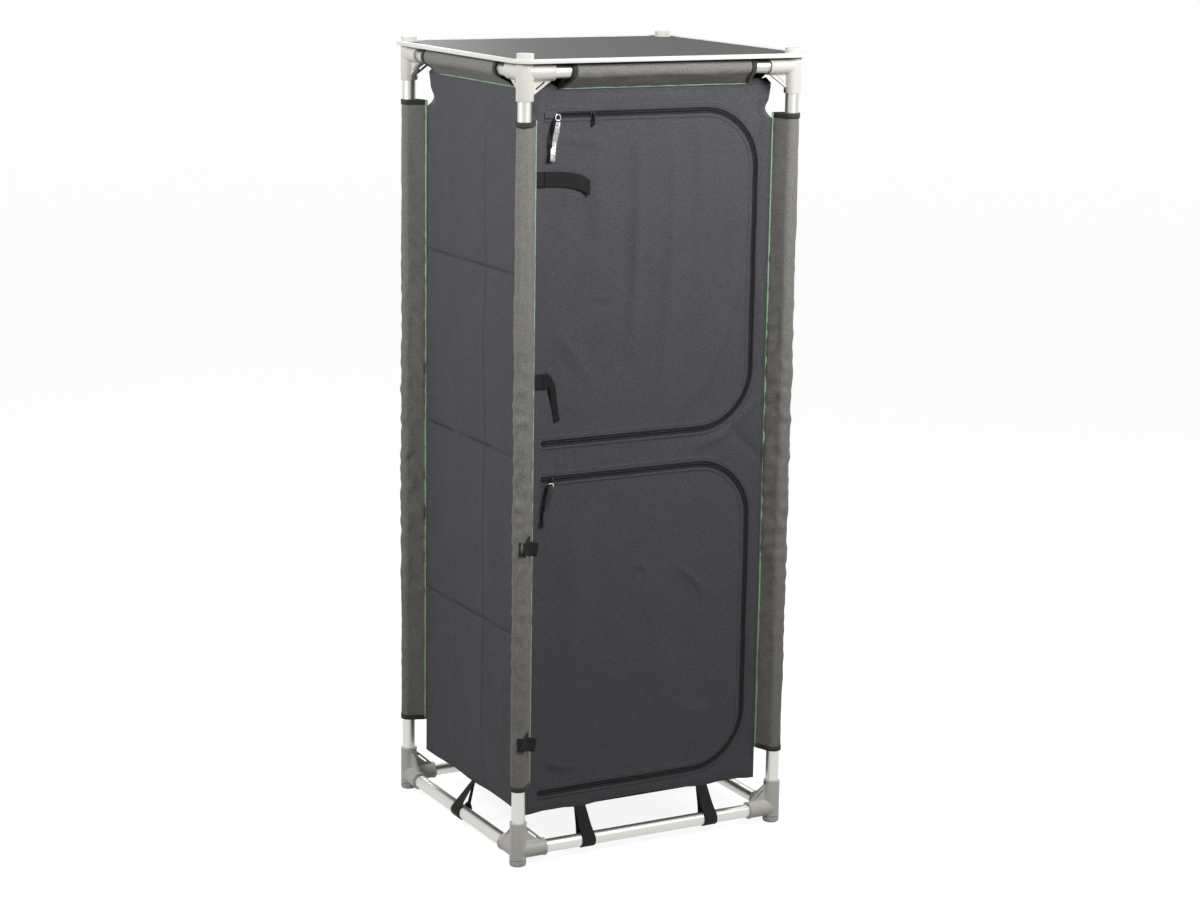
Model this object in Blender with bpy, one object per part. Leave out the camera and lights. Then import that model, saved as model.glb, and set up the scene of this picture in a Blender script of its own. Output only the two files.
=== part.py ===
"""Fabric camp kitchen cupboard: a plug-together tube frame, a cloth box with four
compartments hung inside it, two zipped doors and a lift-off table top.

Units are metres, +Z is up, the doors face -Y and the origin is on the floor at the
middle of the four feet.
"""

import math

import bmesh
import bpy
from mathutils import Matrix, Vector

for existing in list(bpy.data.objects):
    bpy.data.objects.remove(existing, do_unlink=True)

# Overall size
OVERALL_HEIGHT = 1.420
LEG_SPACING_X = 0.524
LEG_SPACING_Y = 0.462

# Fits shared by all pieces
FIT_GAP = 0.0003
CUT_OVERRUN = 0.004
ROUND_SIDES = 20
SMALL_ROUND_SIDES = 12

# Frame tubes
TUBE_RADIUS = 0.012
TUBE_WALL = 0.0012

# Corner connectors
SOCKET_RADIUS = 0.015
SOCKET_LIP = 0.0006
SOCKET_LIP_LENGTH = 0.003
SIDE_SOCKET_LENGTH = 0.052
BORE_STOP = 0.0155
LOWER_MOUTH_HEIGHT = 0.080
UPPER_MOUTH_DROP = 0.079
GUSSET_THICKNESS = 0.004
GUSSET_PROUD = 0.0006
GUSSET_END_SETBACK = 0.005
GUSSET_FOOT_SETBACK = 0.010
GUSSET_SLOT_WIDTH = 0.0024
GUSSET_SLOT_INSET = 0.0052
GUSSET_SLOT_SHARE = 0.46

# Screw feet
FOOT_RADIUS = 0.015
FOOT_HEIGHT = 0.011
FOOT_CHAMFER = 0.0015
FOOT_GAP = 0.001
STUD_RADIUS = 0.004
STUD_LENGTH = 0.025

# Table top
BOARD_THICKNESS = 0.005
CAP_PROUD = 0.010
CAP_REDUCTION = 0.0004
CAP_CHAMFER = 0.0014
CAP_CLEARANCE = 0.0005
TOP_OVERHANG = 0.025
RIM_THICKNESS = 0.005
RIM_RISE = 0.0016
RIM_LIP = 0.002
RIM_LIP_THICKNESS = 0.001
RIM_CORNER_RADIUS = 0.030
RIM_EDGE_BEVEL = 0.0008
CORNER_STEPS = 6

# Cloth box
BOX_INSET = 0.025
BOX_BOTTOM_RISE = 0.053
BOX_TOP_DROP = 0.0321
CLOTH_THICKNESS = 0.0015
COMPARTMENTS = 4
WALL_BULGE = 0.0030
WALL_COLUMNS = 8
ROWS_PER_COMPARTMENT = 4

# Shelves
SHELF_THICKNESS = 0.0054
SHELF_FRONT_SETBACK = 0.004

# Doors and their zips
HINGE_SETBACK = 0.0245
ZIP_RIGHT_MARGIN = 0.031
ZIP_TOP_MARGIN = 0.0425
ZIP_MIDDLE_MARGIN = 0.032
ZIP_BOTTOM_MARGIN = 0.037
ZIP_CORNER_RADIUS = 0.105
ZIP_HALF_WIDTH = 0.0032
ZIP_START_SETBACK = 0.0095
ZIP_PROUD = 0.0005
ZIP_THICKNESS = 0.0020
DOOR_COLUMNS = 15
DOOR_STRAIGHT_ROWS = 10
DOOR_FOLD_DEPTH = 0.0028
DOOR_FOLDS = 3

# Zip sliders and pulls
SLIDER_LENGTH = 0.010
SLIDER_WIDTH = 0.0074
SLIDER_THICKNESS = 0.0022
BRIDGE_LENGTH = 0.0030
BRIDGE_HEIGHT = 0.0046
BRIDGE_RISE = 0.0042
BRIDGE_HOLE_RADIUS = 0.0013
UPPER_SLIDER_SETBACK = 0.024
SECOND_SLIDER_SETBACK = 0.092
LOWER_SLIDER_SETBACK = 0.020
RING_WIRE_RADIUS = 0.0007
RING_BEND_RADIUS = 0.0021
RING_BEND_STEPS = 2
RING_WIRE_SIDES = 6
RING_WIDTH = 0.0128
RING_DROP = 0.0090
PULL_WIDTH = 0.0095
PULL_LENGTH = 0.056
PULL_EYE_RADIUS = 0.0018
PULL_TAIL_RADIUS = 0.0008
SECOND_PULL_WIDTH = 0.0040
SECOND_PULL_THICKNESS = 0.0020
SECOND_PULL_LENGTH = 0.022
UPPER_PULL_TILT = math.radians(9.0)
LOWER_PULL_TILT = math.radians(11.0)

# Sleeves
SLEEVE_RADIUS = 0.0136
SLEEVE_WALL = 0.0012
SLEEVE_TAIL_RADIUS = 0.0016
LEG_BARE_BELOW_SLEEVE = 0.059
LEG_BARE_ABOVE_SLEEVE = 0.035
RAIL_BARE_LENGTH = 0.030
SLEEVE_ARC_STEPS = 11
TAIL_ARC_STEPS = 2

# Webbing
STRAP_WIDTH = 0.030
STRAP_WALL = 0.0012
STRAP_FRONT_PLACE = 0.126
TAPE_WIDTH = 0.027
TAPE_THICKNESS = 0.0012
TAPE_ROOT_SETBACK = 0.003
TAPE_SPREAD = 0.347
UPPER_TAPE_LENGTH = 0.090
UPPER_TAPE_DROP = 0.018
UPPER_TAPE_STEPS = 6
FOLDED_TAPE_WIDTH = 0.012
FOLDED_TAPE_REACH = 0.034
FOLDED_TAPE_DROP = 0.082
FOLDED_TAPE_TURN = 0.0135
FOLDED_TAPE_BEND_SHARE = 0.35
FOLDED_TAPE_TURN_SHARE = 0.5
TAPE_STANDOFF = 0.0008

# Places worked out from the sizes above
LEG_X = LEG_SPACING_X / 2
LEG_Y = LEG_SPACING_Y / 2
BOX_X = LEG_X - BOX_INSET
BOX_Y = LEG_Y - BOX_INSET
LOWER_RAIL_Z = FOOT_HEIGHT + FOOT_GAP + SOCKET_RADIUS
BOARD_TOP = OVERALL_HEIGHT - CAP_PROUD
BOARD_BOTTOM = BOARD_TOP - BOARD_THICKNESS
UPPER_RAIL_Z = BOARD_BOTTOM - FIT_GAP - SOCKET_RADIUS - SOCKET_LIP
UPPER_MOUTH_HEIGHT = OVERALL_HEIGHT - UPPER_MOUTH_DROP
BORE_RADIUS = TUBE_RADIUS + FIT_GAP
BOX_BOTTOM = LOWER_RAIL_Z + BOX_BOTTOM_RISE
BOX_TOP = UPPER_RAIL_Z - BOX_TOP_DROP
LEG_SLEEVE_BOTTOM = LOWER_MOUTH_HEIGHT + LEG_BARE_BELOW_SLEEVE
LEG_SLEEVE_TOP = UPPER_MOUTH_HEIGHT - LEG_BARE_ABOVE_SLEEVE
COMPARTMENT_HEIGHT = (BOX_TOP - BOX_BOTTOM) / COMPARTMENTS
BOX_MIDDLE = (BOX_TOP + BOX_BOTTOM) / 2
FRONT_Y = -BOX_Y
INNER_X = BOX_X - CLOTH_THICKNESS
INNER_Y = BOX_Y - CLOTH_THICKNESS
HINGE_X = -BOX_X + HINGE_SETBACK
ZIP_RIGHT = BOX_X - ZIP_RIGHT_MARGIN
ZIP_START_X = HINGE_X + ZIP_START_SETBACK
CORNER_SIGNS = {
    "front_left": (-1, -1),
    "front_right": (1, -1),
    "back_left": (-1, 1),
    "back_right": (1, 1),
}
DOOR_SPANS = {
    "upper": (BOX_MIDDLE + ZIP_MIDDLE_MARGIN, BOX_TOP - ZIP_TOP_MARGIN),
    "lower": (BOX_BOTTOM + ZIP_BOTTOM_MARGIN, BOX_MIDDLE - ZIP_MIDDLE_MARGIN),
}

SMOOTH_ANGLE = math.radians(35.0)
X_AXIS = Vector((1, 0, 0))
Y_AXIS = Vector((0, 1, 0))
Z_AXIS = Vector((0, 0, 1))


def make_material(name, colour, roughness, metallic=0.0):
    material = bpy.data.materials.new(name)
    material.use_nodes = True
    shader = material.node_tree.nodes["Principled BSDF"]
    shader.inputs["Base Color"].default_value = (*colour, 1.0)
    shader.inputs["Roughness"].default_value = roughness
    shader.inputs["Metallic"].default_value = metallic
    return material


ALUMINIUM = make_material("satin_aluminium", (0.72, 0.72, 0.72), 0.32, 1.0)
CONNECTOR_PLASTIC = make_material("connector_plastic", (0.60, 0.58, 0.52), 0.45)
FOOT_PLASTIC = make_material("foot_plastic", (0.52, 0.51, 0.46), 0.50)
TABLE_LAMINATE = make_material("table_laminate", (0.12, 0.115, 0.115), 0.50)
RIM_PLASTIC = make_material("rim_plastic", (0.78, 0.77, 0.72), 0.35)
DARK_CLOTH = make_material("dark_cloth", (0.060, 0.060, 0.066), 0.85)
INNER_CLOTH = make_material("inner_cloth", (0.045, 0.045, 0.048), 0.90)
SLEEVE_CLOTH = make_material("sleeve_cloth", (0.16, 0.155, 0.135), 0.85)
ZIP_COIL = make_material("zip_coil", (0.012, 0.012, 0.012), 0.45)
SILVER_METAL = make_material("silver_metal", (0.70, 0.70, 0.70), 0.25, 1.0)
BLACK_METAL = make_material("black_metal", (0.02, 0.02, 0.02), 0.35, 1.0)
REFLECTIVE_TAPE = make_material("reflective_tape", (0.62, 0.63, 0.60), 0.40)
BLACK_WEBBING = make_material("black_webbing", (0.012, 0.012, 0.012), 0.85)


def place_mesh(name, mesh, material, origin=Vector(), parent=None):
    """Link a mesh given in world places, with its object's origin moved to origin."""
    mesh.transform(Matrix.Translation(-origin))
    piece = bpy.data.objects.new(name, mesh)
    bpy.context.scene.collection.objects.link(piece)
    piece.location = origin
    if parent is not None:
        piece.parent = parent
        piece.location = origin - parent.matrix_world.translation
    mesh.materials.clear()
    mesh.materials.append(material)
    mesh.shade_smooth()
    mesh.set_sharp_from_angle(angle=SMOOTH_ANGLE)
    return piece


def finish_piece(name, shape, material, origin=Vector(), parent=None):
    bmesh.ops.recalc_face_normals(shape, faces=shape.faces)
    mesh = bpy.data.meshes.new(name)
    shape.to_mesh(mesh)
    shape.free()
    return place_mesh(name, mesh, material, origin, parent)


def pivot_empty(name, place, parent=None):
    """An empty on a joint's axis, which carries the pieces that move with it."""
    pivot = bpy.data.objects.new(name, None)
    bpy.context.scene.collection.objects.link(pivot)
    pivot.location = place
    if parent is not None:
        pivot.parent = parent
        pivot.location = place - parent.matrix_world.translation
    bpy.context.view_layer.update()
    return pivot


def carved_mesh(name, base, steps, solver="EXACT"):
    """Add or take away the shapes in steps from a base shape, and return the mesh."""
    body = finish_piece(name, base, CONNECTOR_PLASTIC)
    helpers = []
    for number, (operation, shape) in enumerate(steps):
        helper = finish_piece(f"{name}_cutter_{number}", shape, CONNECTOR_PLASTIC)
        helper.hide_render = True
        helper.display_type = "WIRE"
        helpers.append(helper)
        modifier = body.modifiers.new(operation.lower(), "BOOLEAN")
        modifier.operation = operation
        modifier.solver = solver
        modifier.object = helper
    graph = bpy.context.evaluated_depsgraph_get()
    mesh = bpy.data.meshes.new_from_object(body.evaluated_get(graph))
    for used in [body] + helpers:
        bpy.data.objects.remove(used, do_unlink=True)
    return mesh


def mirrored_copy(mesh, sign_x, sign_y, offset):
    """A copy of a mesh made for the corner whose arms point to +X and +Y."""
    shape = bmesh.new()
    shape.from_mesh(mesh)
    bmesh.ops.scale(shape, vec=(sign_x, sign_y, 1), verts=shape.verts)
    bmesh.ops.translate(shape, vec=offset, verts=shape.verts)
    if sign_x * sign_y < 0:
        bmesh.ops.reverse_faces(shape, faces=shape.faces)
    copy = bpy.data.meshes.new(mesh.name)
    shape.to_mesh(copy)
    shape.free()
    return copy


def editable(mesh):
    """A finished mesh as a shape that can be joined or cut again."""
    shape = bmesh.new()
    shape.from_mesh(mesh)
    return shape


def circle_points(radius, sides, turn=0.0):
    return [
        (radius * math.cos(turn + math.tau * k / sides), radius * math.sin(turn + math.tau * k / sides))
        for k in range(sides)
    ]


def section_frame(along):
    """Two directions across an axis, so that a section keeps its hand along it."""
    if along is Z_AXIS:
        return X_AXIS, Y_AXIS
    if along is X_AXIS:
        return Y_AXIS, Z_AXIS
    return Z_AXIS, X_AXIS


def section_ring(shape, points, place, across, up):
    return [shape.verts.new(place + across * a + up * b) for a, b in points]


def bridge_rings(shape, first, second):
    for k in range(len(first)):
        after = (k + 1) % len(first)
        shape.faces.new((first[k], first[after], second[after], second[k]))


def add_prism(shape, points, place, across, up, length_vector):
    """An outline in the plane of across and up, drawn out along length_vector."""
    near = section_ring(shape, points, place, across, up)
    far = section_ring(shape, points, place + length_vector, across, up)
    bridge_rings(shape, near, far)
    shape.faces.new(list(reversed(near)))
    shape.faces.new(far)


def add_hollow_prism(shape, outer, inner, place, across, up, length_vector):
    """A wall between two outlines with as many points each, open at both ends."""
    rings = []
    for shift in (Vector(), length_vector):
        rings.append(section_ring(shape, outer, place + shift, across, up))
        rings.append(section_ring(shape, inner, place + shift, across, up))
    near_outer, near_inner, far_outer, far_inner = rings
    bridge_rings(shape, near_outer, far_outer)
    bridge_rings(shape, far_inner, near_inner)
    bridge_rings(shape, near_inner, near_outer)
    bridge_rings(shape, far_outer, far_inner)


def add_turned(shape, profile, base, along, sides):
    """A solid of revolution; profile holds (radius, distance along) from end to end."""
    across, up = section_frame(along)
    rings = []
    for radius, distance in profile:
        place = base + along * distance
        if radius == 0:
            rings.append([shape.verts.new(place)])
        else:
            rings.append(section_ring(shape, circle_points(radius, sides), place, across, up))
    for first, second in zip(rings, rings[1:]):
        if len(first) == 1:
            for k in range(sides):
                shape.faces.new((first[0], second[(k + 1) % sides], second[k]))
        elif len(second) == 1:
            for k in range(sides):
                shape.faces.new((first[k], first[(k + 1) % sides], second[0]))
        else:
            bridge_rings(shape, first, second)


def turned(profile, base, along, sides=ROUND_SIDES):
    shape = bmesh.new()
    add_turned(shape, profile, base, along, sides)
    return shape


def cylinder(radius, base, along, length, sides=ROUND_SIDES):
    return turned([(0, 0), (radius, 0), (radius, length), (0, length)], base, along, sides)


def add_box(shape, low, high):
    outline = [(low[0], low[1]), (high[0], low[1]), (high[0], high[1]), (low[0], high[1])]
    add_prism(shape, outline, Z_AXIS * low[2], X_AXIS, Y_AXIS, Z_AXIS * (high[2] - low[2]))


def box_shape(low, high):
    shape = bmesh.new()
    add_box(shape, low, high)
    return shape


def add_tube(shape, start, along, length):
    across, up = section_frame(along)
    outer = circle_points(TUBE_RADIUS, ROUND_SIDES)
    inner = circle_points(TUBE_RADIUS - TUBE_WALL, ROUND_SIDES)
    add_hollow_prism(shape, outer, inner, start, across, up, along * length)


def drop_outline(tail, radius, tail_radius, arc_steps=SLEEVE_ARC_STEPS):
    """A round that narrows to a small round at tail, as cloth or webbing wraps a tube."""
    reach = math.hypot(*tail)
    heading = math.atan2(tail[1], tail[0])
    spread = math.acos((radius - tail_radius) / reach)
    points = []
    for k in range(arc_steps + 1):
        angle = heading + spread + (math.tau - 2 * spread) * k / arc_steps
        points.append((radius * math.cos(angle), radius * math.sin(angle)))
    for k in range(TAIL_ARC_STEPS + 1):
        angle = heading - spread + 2 * spread * k / TAIL_ARC_STEPS
        points.append((tail[0] + tail_radius * math.cos(angle), tail[1] + tail_radius * math.sin(angle)))
    return points


def add_wrap(shape, tail, radius, wall, tail_radius, place, along, length):
    """A cloth or webbing loop round a tube, from place along the tube's direction."""
    across, up = section_frame(along)
    outer = drop_outline(tail, radius, tail_radius)
    inner = drop_outline(tail, radius - wall, tail_radius - wall)
    add_hollow_prism(shape, outer, inner, place, across, up, along * length)


# Frame


def gusset_outline(rail_z, mouth_z, outward):
    """Corner points, in X and Z, of the web between a leg socket and a side socket."""
    arm_end = SIDE_SOCKET_LENGTH - GUSSET_END_SETBACK
    arm_side = rail_z + outward * (SOCKET_RADIUS + GUSSET_PROUD)
    leg_side = SOCKET_RADIUS + GUSSET_PROUD
    foot = mouth_z - outward * GUSSET_FOOT_SETBACK
    return [(0, rail_z), (arm_end, rail_z), (arm_end, arm_side), (leg_side, foot), (0, foot)]


def gusset_slot(rail_z, mouth_z, outward):
    """Four corners of the slot that lies beside the web's sloping edge."""
    outline = gusset_outline(rail_z, mouth_z, outward)
    arm_corner = Vector(outline[2])
    foot_corner = Vector(outline[3])
    run = (foot_corner - arm_corner).normalized()
    inward = Vector((-run.y, run.x)) * outward
    middle = (arm_corner + foot_corner) / 2 + inward * GUSSET_SLOT_INSET
    half_length = (foot_corner - arm_corner).length * GUSSET_SLOT_SHARE / 2
    half_width = GUSSET_SLOT_WIDTH / 2
    corners = []
    for side, end in ((-1, -1), (1, -1), (1, 1), (-1, 1)):
        corners.append(tuple(middle + run * half_length * end + inward * half_width * side))
    return corners


def web_shape(outline, thickness, along):
    """A web drawn out across the plane of a leg and one of its side sockets."""
    shape = bmesh.new()
    across = Y_AXIS if along is X_AXIS else X_AXIS
    add_prism(shape, outline, across * (-thickness / 2), along, Z_AXIS, across * thickness)
    return shape


def side_socket_steps(rail_z, mouth_z, outward):
    """The side sockets, webs and bores that every corner connector has."""
    joined, cut = [], []
    lip_start = SIDE_SOCKET_LENGTH - SOCKET_LIP_LENGTH
    profile = [
        (0, 0),
        (SOCKET_RADIUS, 0),
        (SOCKET_RADIUS, lip_start),
        (SOCKET_RADIUS + SOCKET_LIP, lip_start),
        (SOCKET_RADIUS + SOCKET_LIP, SIDE_SOCKET_LENGTH),
        (0, SIDE_SOCKET_LENGTH),
    ]
    bore_length = SIDE_SOCKET_LENGTH - BORE_STOP + CUT_OVERRUN
    for along in (X_AXIS, Y_AXIS):
        centre = Z_AXIS * rail_z
        joined.append(("UNION", turned(profile, centre, along)))
        web = gusset_outline(rail_z, mouth_z, outward)
        joined.append(("UNION", web_shape(web, GUSSET_THICKNESS, along)))
        cut.append(("DIFFERENCE", cylinder(BORE_RADIUS, centre + along * BORE_STOP, along, bore_length)))
        slot = gusset_slot(rail_z, mouth_z, outward)
        cut.append(("DIFFERENCE", web_shape(slot, GUSSET_THICKNESS + CUT_OVERRUN, along)))
    return joined, cut


def lower_connector_mesh():
    foot_face = FOOT_HEIGHT + FOOT_GAP
    base = cylinder(SOCKET_RADIUS, Z_AXIS * foot_face, Z_AXIS, LOWER_MOUTH_HEIGHT - foot_face)
    joined, cut = side_socket_steps(LOWER_RAIL_Z, LOWER_MOUTH_HEIGHT, 1)
    bore_bottom = LOWER_RAIL_Z + BORE_STOP
    bore_length = LOWER_MOUTH_HEIGHT - bore_bottom + CUT_OVERRUN
    cut.append(("DIFFERENCE", cylinder(BORE_RADIUS, Z_AXIS * bore_bottom, Z_AXIS, bore_length)))
    stud_hole = cylinder(
        STUD_RADIUS + FIT_GAP, Vector(), Z_AXIS, bore_bottom + CUT_OVERRUN, SMALL_ROUND_SIDES
    )
    cut.append(("DIFFERENCE", stud_hole))
    return carved_mesh("lower_connector", base, joined + cut, "MANIFOLD")


def upper_connector_mesh():
    shoulder = BOARD_BOTTOM - FIT_GAP - UPPER_MOUTH_HEIGHT
    full_length = OVERALL_HEIGHT - UPPER_MOUTH_HEIGHT
    cap_radius = SOCKET_RADIUS - CAP_REDUCTION
    profile = [
        (0, 0),
        (SOCKET_RADIUS, 0),
        (SOCKET_RADIUS, shoulder),
        (cap_radius, shoulder),
        (cap_radius, full_length - CAP_CHAMFER),
        (cap_radius - CAP_CHAMFER, full_length),
        (0, full_length),
    ]
    base = turned(profile, Z_AXIS * UPPER_MOUTH_HEIGHT, Z_AXIS)
    joined, cut = side_socket_steps(UPPER_RAIL_Z, UPPER_MOUTH_HEIGHT, -1)
    bore_start = UPPER_MOUTH_HEIGHT - CUT_OVERRUN
    bore_length = UPPER_RAIL_Z - BORE_STOP - bore_start
    cut.append(("DIFFERENCE", cylinder(BORE_RADIUS, Z_AXIS * bore_start, Z_AXIS, bore_length)))
    return carved_mesh("upper_connector", base, joined + cut, "MANIFOLD")


def build_corners():
    connectors = {"lower": lower_connector_mesh(), "upper": upper_connector_mesh()}
    leg_bottom = LOWER_RAIL_Z + BORE_STOP + FIT_GAP
    leg_top = UPPER_RAIL_Z - BORE_STOP - FIT_GAP
    for corner, (sign_x, sign_y) in CORNER_SIGNS.items():
        axis = Vector((sign_x * LEG_X, sign_y * LEG_Y, 0))
        for level, mesh in connectors.items():
            copy = mirrored_copy(mesh, -sign_x, -sign_y, axis)
            place_mesh(f"{level}_connector_{corner}", copy, CONNECTOR_PLASTIC, axis)
        leg = bmesh.new()
        add_tube(leg, axis + Z_AXIS * leg_bottom, Z_AXIS, leg_top - leg_bottom)
        finish_piece(f"leg_tube_{corner}", leg, ALUMINIUM, axis)


def build_feet():
    stud_top = FOOT_HEIGHT + STUD_LENGTH
    profile = [
        (0, 0),
        (FOOT_RADIUS - FOOT_CHAMFER, 0),
        (FOOT_RADIUS, FOOT_CHAMFER),
        (FOOT_RADIUS, FOOT_HEIGHT),
        (STUD_RADIUS, FOOT_HEIGHT),
        (STUD_RADIUS, stud_top),
        (0, stud_top),
    ]
    for corner, (sign_x, sign_y) in CORNER_SIGNS.items():
        axis = Vector((sign_x * LEG_X, sign_y * LEG_Y, 0))
        foot = turned(profile, axis, Z_AXIS)
        finish_piece(f"screw_foot_{corner}", foot, FOOT_PLASTIC, axis)


def build_rails():
    for level, height in (("bottom", LOWER_RAIL_Z), ("top", UPPER_RAIL_Z)):
        for side, along, spacing, offset in (
            ("front", X_AXIS, LEG_X, Y_AXIS * -LEG_Y),
            ("back", X_AXIS, LEG_X, Y_AXIS * LEG_Y),
            ("left", Y_AXIS, LEG_Y, X_AXIS * -LEG_X),
            ("right", Y_AXIS, LEG_Y, X_AXIS * LEG_X),
        ):
            half = spacing - BORE_STOP - FIT_GAP
            middle = offset + Z_AXIS * height
            shape = bmesh.new()
            add_tube(shape, middle - along * half, along, 2 * half)
            finish_piece(f"{level}_rail_{side}", shape, ALUMINIUM, middle)


# Table top


def rounded_rectangle(half_x, half_y, radius):
    points = []
    for centre_x, centre_y, start in (
        (half_x - radius, half_y - radius, 0.0),
        (radius - half_x, half_y - radius, 0.25),
        (radius - half_x, radius - half_y, 0.5),
        (half_x - radius, radius - half_y, 0.75),
    ):
        for k in range(CORNER_STEPS + 1):
            angle = math.tau * (start + k / CORNER_STEPS / 4)
            points.append((centre_x + radius * math.cos(angle), centre_y + radius * math.sin(angle)))
    return points


def build_table_top():
    rim_x = LEG_X + TOP_OVERHANG
    rim_y = LEG_Y + TOP_OVERHANG
    board_inset = RIM_THICKNESS + FIT_GAP
    outline = rounded_rectangle(
        rim_x - board_inset, rim_y - board_inset, RIM_CORNER_RADIUS - board_inset
    )
    board = bmesh.new()
    add_prism(board, outline, Z_AXIS * BOARD_BOTTOM, X_AXIS, Y_AXIS, Z_AXIS * BOARD_THICKNESS)
    holes = []
    hole_radius = SOCKET_RADIUS - CAP_REDUCTION + CAP_CLEARANCE
    for sign_x, sign_y in CORNER_SIGNS.values():
        base = Vector((sign_x * LEG_X, sign_y * LEG_Y, BOARD_BOTTOM - CUT_OVERRUN))
        hole = cylinder(hole_radius, base, Z_AXIS, BOARD_THICKNESS + 2 * CUT_OVERRUN)
        holes.append(("DIFFERENCE", hole))
    middle = Z_AXIS * BOARD_BOTTOM
    place_mesh("table_board", carved_mesh("table_board", board, holes), TABLE_LAMINATE, middle)

    lip_bottom = BOARD_BOTTOM - FIT_GAP - RIM_LIP_THICKNESS
    rim_top = BOARD_TOP + RIM_RISE
    section = [
        (RIM_THICKNESS + RIM_LIP, lip_bottom),
        (RIM_EDGE_BEVEL, lip_bottom),
        (0, lip_bottom + RIM_EDGE_BEVEL),
        (0, rim_top - RIM_EDGE_BEVEL),
        (RIM_EDGE_BEVEL, rim_top),
        (RIM_THICKNESS, rim_top),
        (RIM_THICKNESS, BOARD_BOTTOM - FIT_GAP),
        (RIM_THICKNESS + RIM_LIP, BOARD_BOTTOM - FIT_GAP),
    ]
    rim = bmesh.new()
    loops = []
    for inset, height in section:
        points = rounded_rectangle(rim_x - inset, rim_y - inset, RIM_CORNER_RADIUS - inset)
        loops.append(section_ring(rim, points, Z_AXIS * height, X_AXIS, Y_AXIS))
    for first, second in zip(loops, loops[1:] + loops[:1]):
        bridge_rings(rim, first, second)
    finish_piece("table_rim", rim, RIM_PLASTIC, middle)


# Cloth box


def edge_fade(share):
    """Nought at both ends of a span and one in its middle."""
    return math.sin(math.pi * min(max(share, 0.0), 1.0))


def wall_bulge(share_across, height):
    """How far a wall stands out between its corner seams and its shelf seams."""
    share_up = (height - BOX_BOTTOM) / COMPARTMENT_HEIGHT
    between_shelves = math.sin(math.pi * (share_up - math.floor(share_up)))
    return WALL_BULGE * edge_fade(share_across) * between_shelves


def add_sheet(shape, rows, columns, outward, across, stand_out):
    """A cloth sheet whose rows hold (height, near edge, far edge), as thick as the cloth."""
    faces = []
    for depth in (0, CLOTH_THICKNESS):
        grid = []
        for height, near, far in rows:
            line = []
            for k in range(columns + 1):
                share = k / columns
                along = near + (far - near) * share
                proud = stand_out(along, height)
                place = across * along + Z_AXIS * height + outward * (proud - depth)
                line.append(shape.verts.new(place))
            grid.append(line)
        faces.append(grid)
    front, back = faces
    last_row = len(rows) - 1
    for r in range(last_row):
        for k in range(columns):
            shape.faces.new((front[r][k], front[r][k + 1], front[r + 1][k + 1], front[r + 1][k]))
            shape.faces.new((back[r][k], back[r + 1][k], back[r + 1][k + 1], back[r][k + 1]))
        for k in (0, columns):
            shape.faces.new((front[r][k], front[r + 1][k], back[r + 1][k], back[r][k]))
    for k in range(columns):
        for r in (0, last_row):
            shape.faces.new((front[r][k], back[r][k], back[r][k + 1], front[r][k + 1]))


def wall_rows(half_width):
    count = COMPARTMENTS * ROWS_PER_COMPARTMENT
    rows = []
    for r in range(count + 1):
        height = BOX_BOTTOM + (BOX_TOP - BOX_BOTTOM) * r / count
        rows.append((height, -half_width, half_width))
    return rows


def build_walls():
    side_half = BOX_Y - CLOTH_THICKNESS - FIT_GAP
    for name, outward, across, half_width, face in (
        ("side_wall_left", -X_AXIS, Y_AXIS, side_half, BOX_X),
        ("side_wall_right", X_AXIS, Y_AXIS, side_half, BOX_X),
        ("back_wall", Y_AXIS, X_AXIS, BOX_X, BOX_Y),
    ):
        def stand_out(along, height, half_width=half_width, face=face):
            return face + wall_bulge((along + half_width) / (2 * half_width), height)

        wall = bmesh.new()
        add_sheet(wall, wall_rows(half_width), WALL_COLUMNS, outward, across, stand_out)
        finish_piece(name, wall, DARK_CLOTH)

    lid_x = INNER_X - FIT_GAP
    lid_y = INNER_Y - FIT_GAP
    roof = box_shape((-lid_x, -lid_y, BOX_TOP - CLOTH_THICKNESS), (lid_x, lid_y, BOX_TOP))
    finish_piece("cloth_roof", roof, INNER_CLOTH)


def arc_shares():
    return [k / CORNER_STEPS for k in range(CORNER_STEPS + 1)]


def door_outline(door, offset, left):
    """The D of a door's zip line, moved outwards by offset, with a straight left edge."""
    bottom, top = DOOR_SPANS[door]
    radius = ZIP_CORNER_RADIUS + offset
    centre_x = ZIP_RIGHT - ZIP_CORNER_RADIUS
    points = [(left, bottom - offset)]
    for centre_z, start in ((bottom + ZIP_CORNER_RADIUS, -0.25), (top - ZIP_CORNER_RADIUS, 0.0)):
        for share in arc_shares():
            angle = math.tau * (start + share / 4)
            points.append((centre_x + radius * math.cos(angle), centre_z + radius * math.sin(angle)))
    points.append((left, top + offset))
    return points


def build_front_panel():
    """The front wall, cut out for both doors, with the hinge strip at the left."""
    panel = box_shape((-BOX_X, -BOX_Y, BOX_BOTTOM), (BOX_X, -INNER_Y, BOX_TOP))
    cuts = []
    for door in DOOR_SPANS:
        cutter = bmesh.new()
        outline = door_outline(door, ZIP_HALF_WIDTH, HINGE_X - FIT_GAP)
        start = Y_AXIS * (-BOX_Y - CUT_OVERRUN)
        add_prism(cutter, outline, start, X_AXIS, Z_AXIS, Y_AXIS * (CLOTH_THICKNESS + 2 * CUT_OVERRUN))
        cuts.append(("DIFFERENCE", cutter))
    mesh = carved_mesh("front_panel", panel, cuts)
    place_mesh("front_panel", mesh, DARK_CLOTH)


def door_fold(door, x, height):
    """How far a door stands out of the front, in soft upright folds."""
    bottom, top = DOOR_SPANS[door]
    share_across = (x - HINGE_X) / (ZIP_RIGHT - HINGE_X)
    share_up = (height - bottom) / (top - bottom)
    ripple = (1 - math.cos(math.tau * DOOR_FOLDS * share_across)) / 2
    return DOOR_FOLD_DEPTH * ripple * edge_fade(share_across) * edge_fade(share_up)


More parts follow.
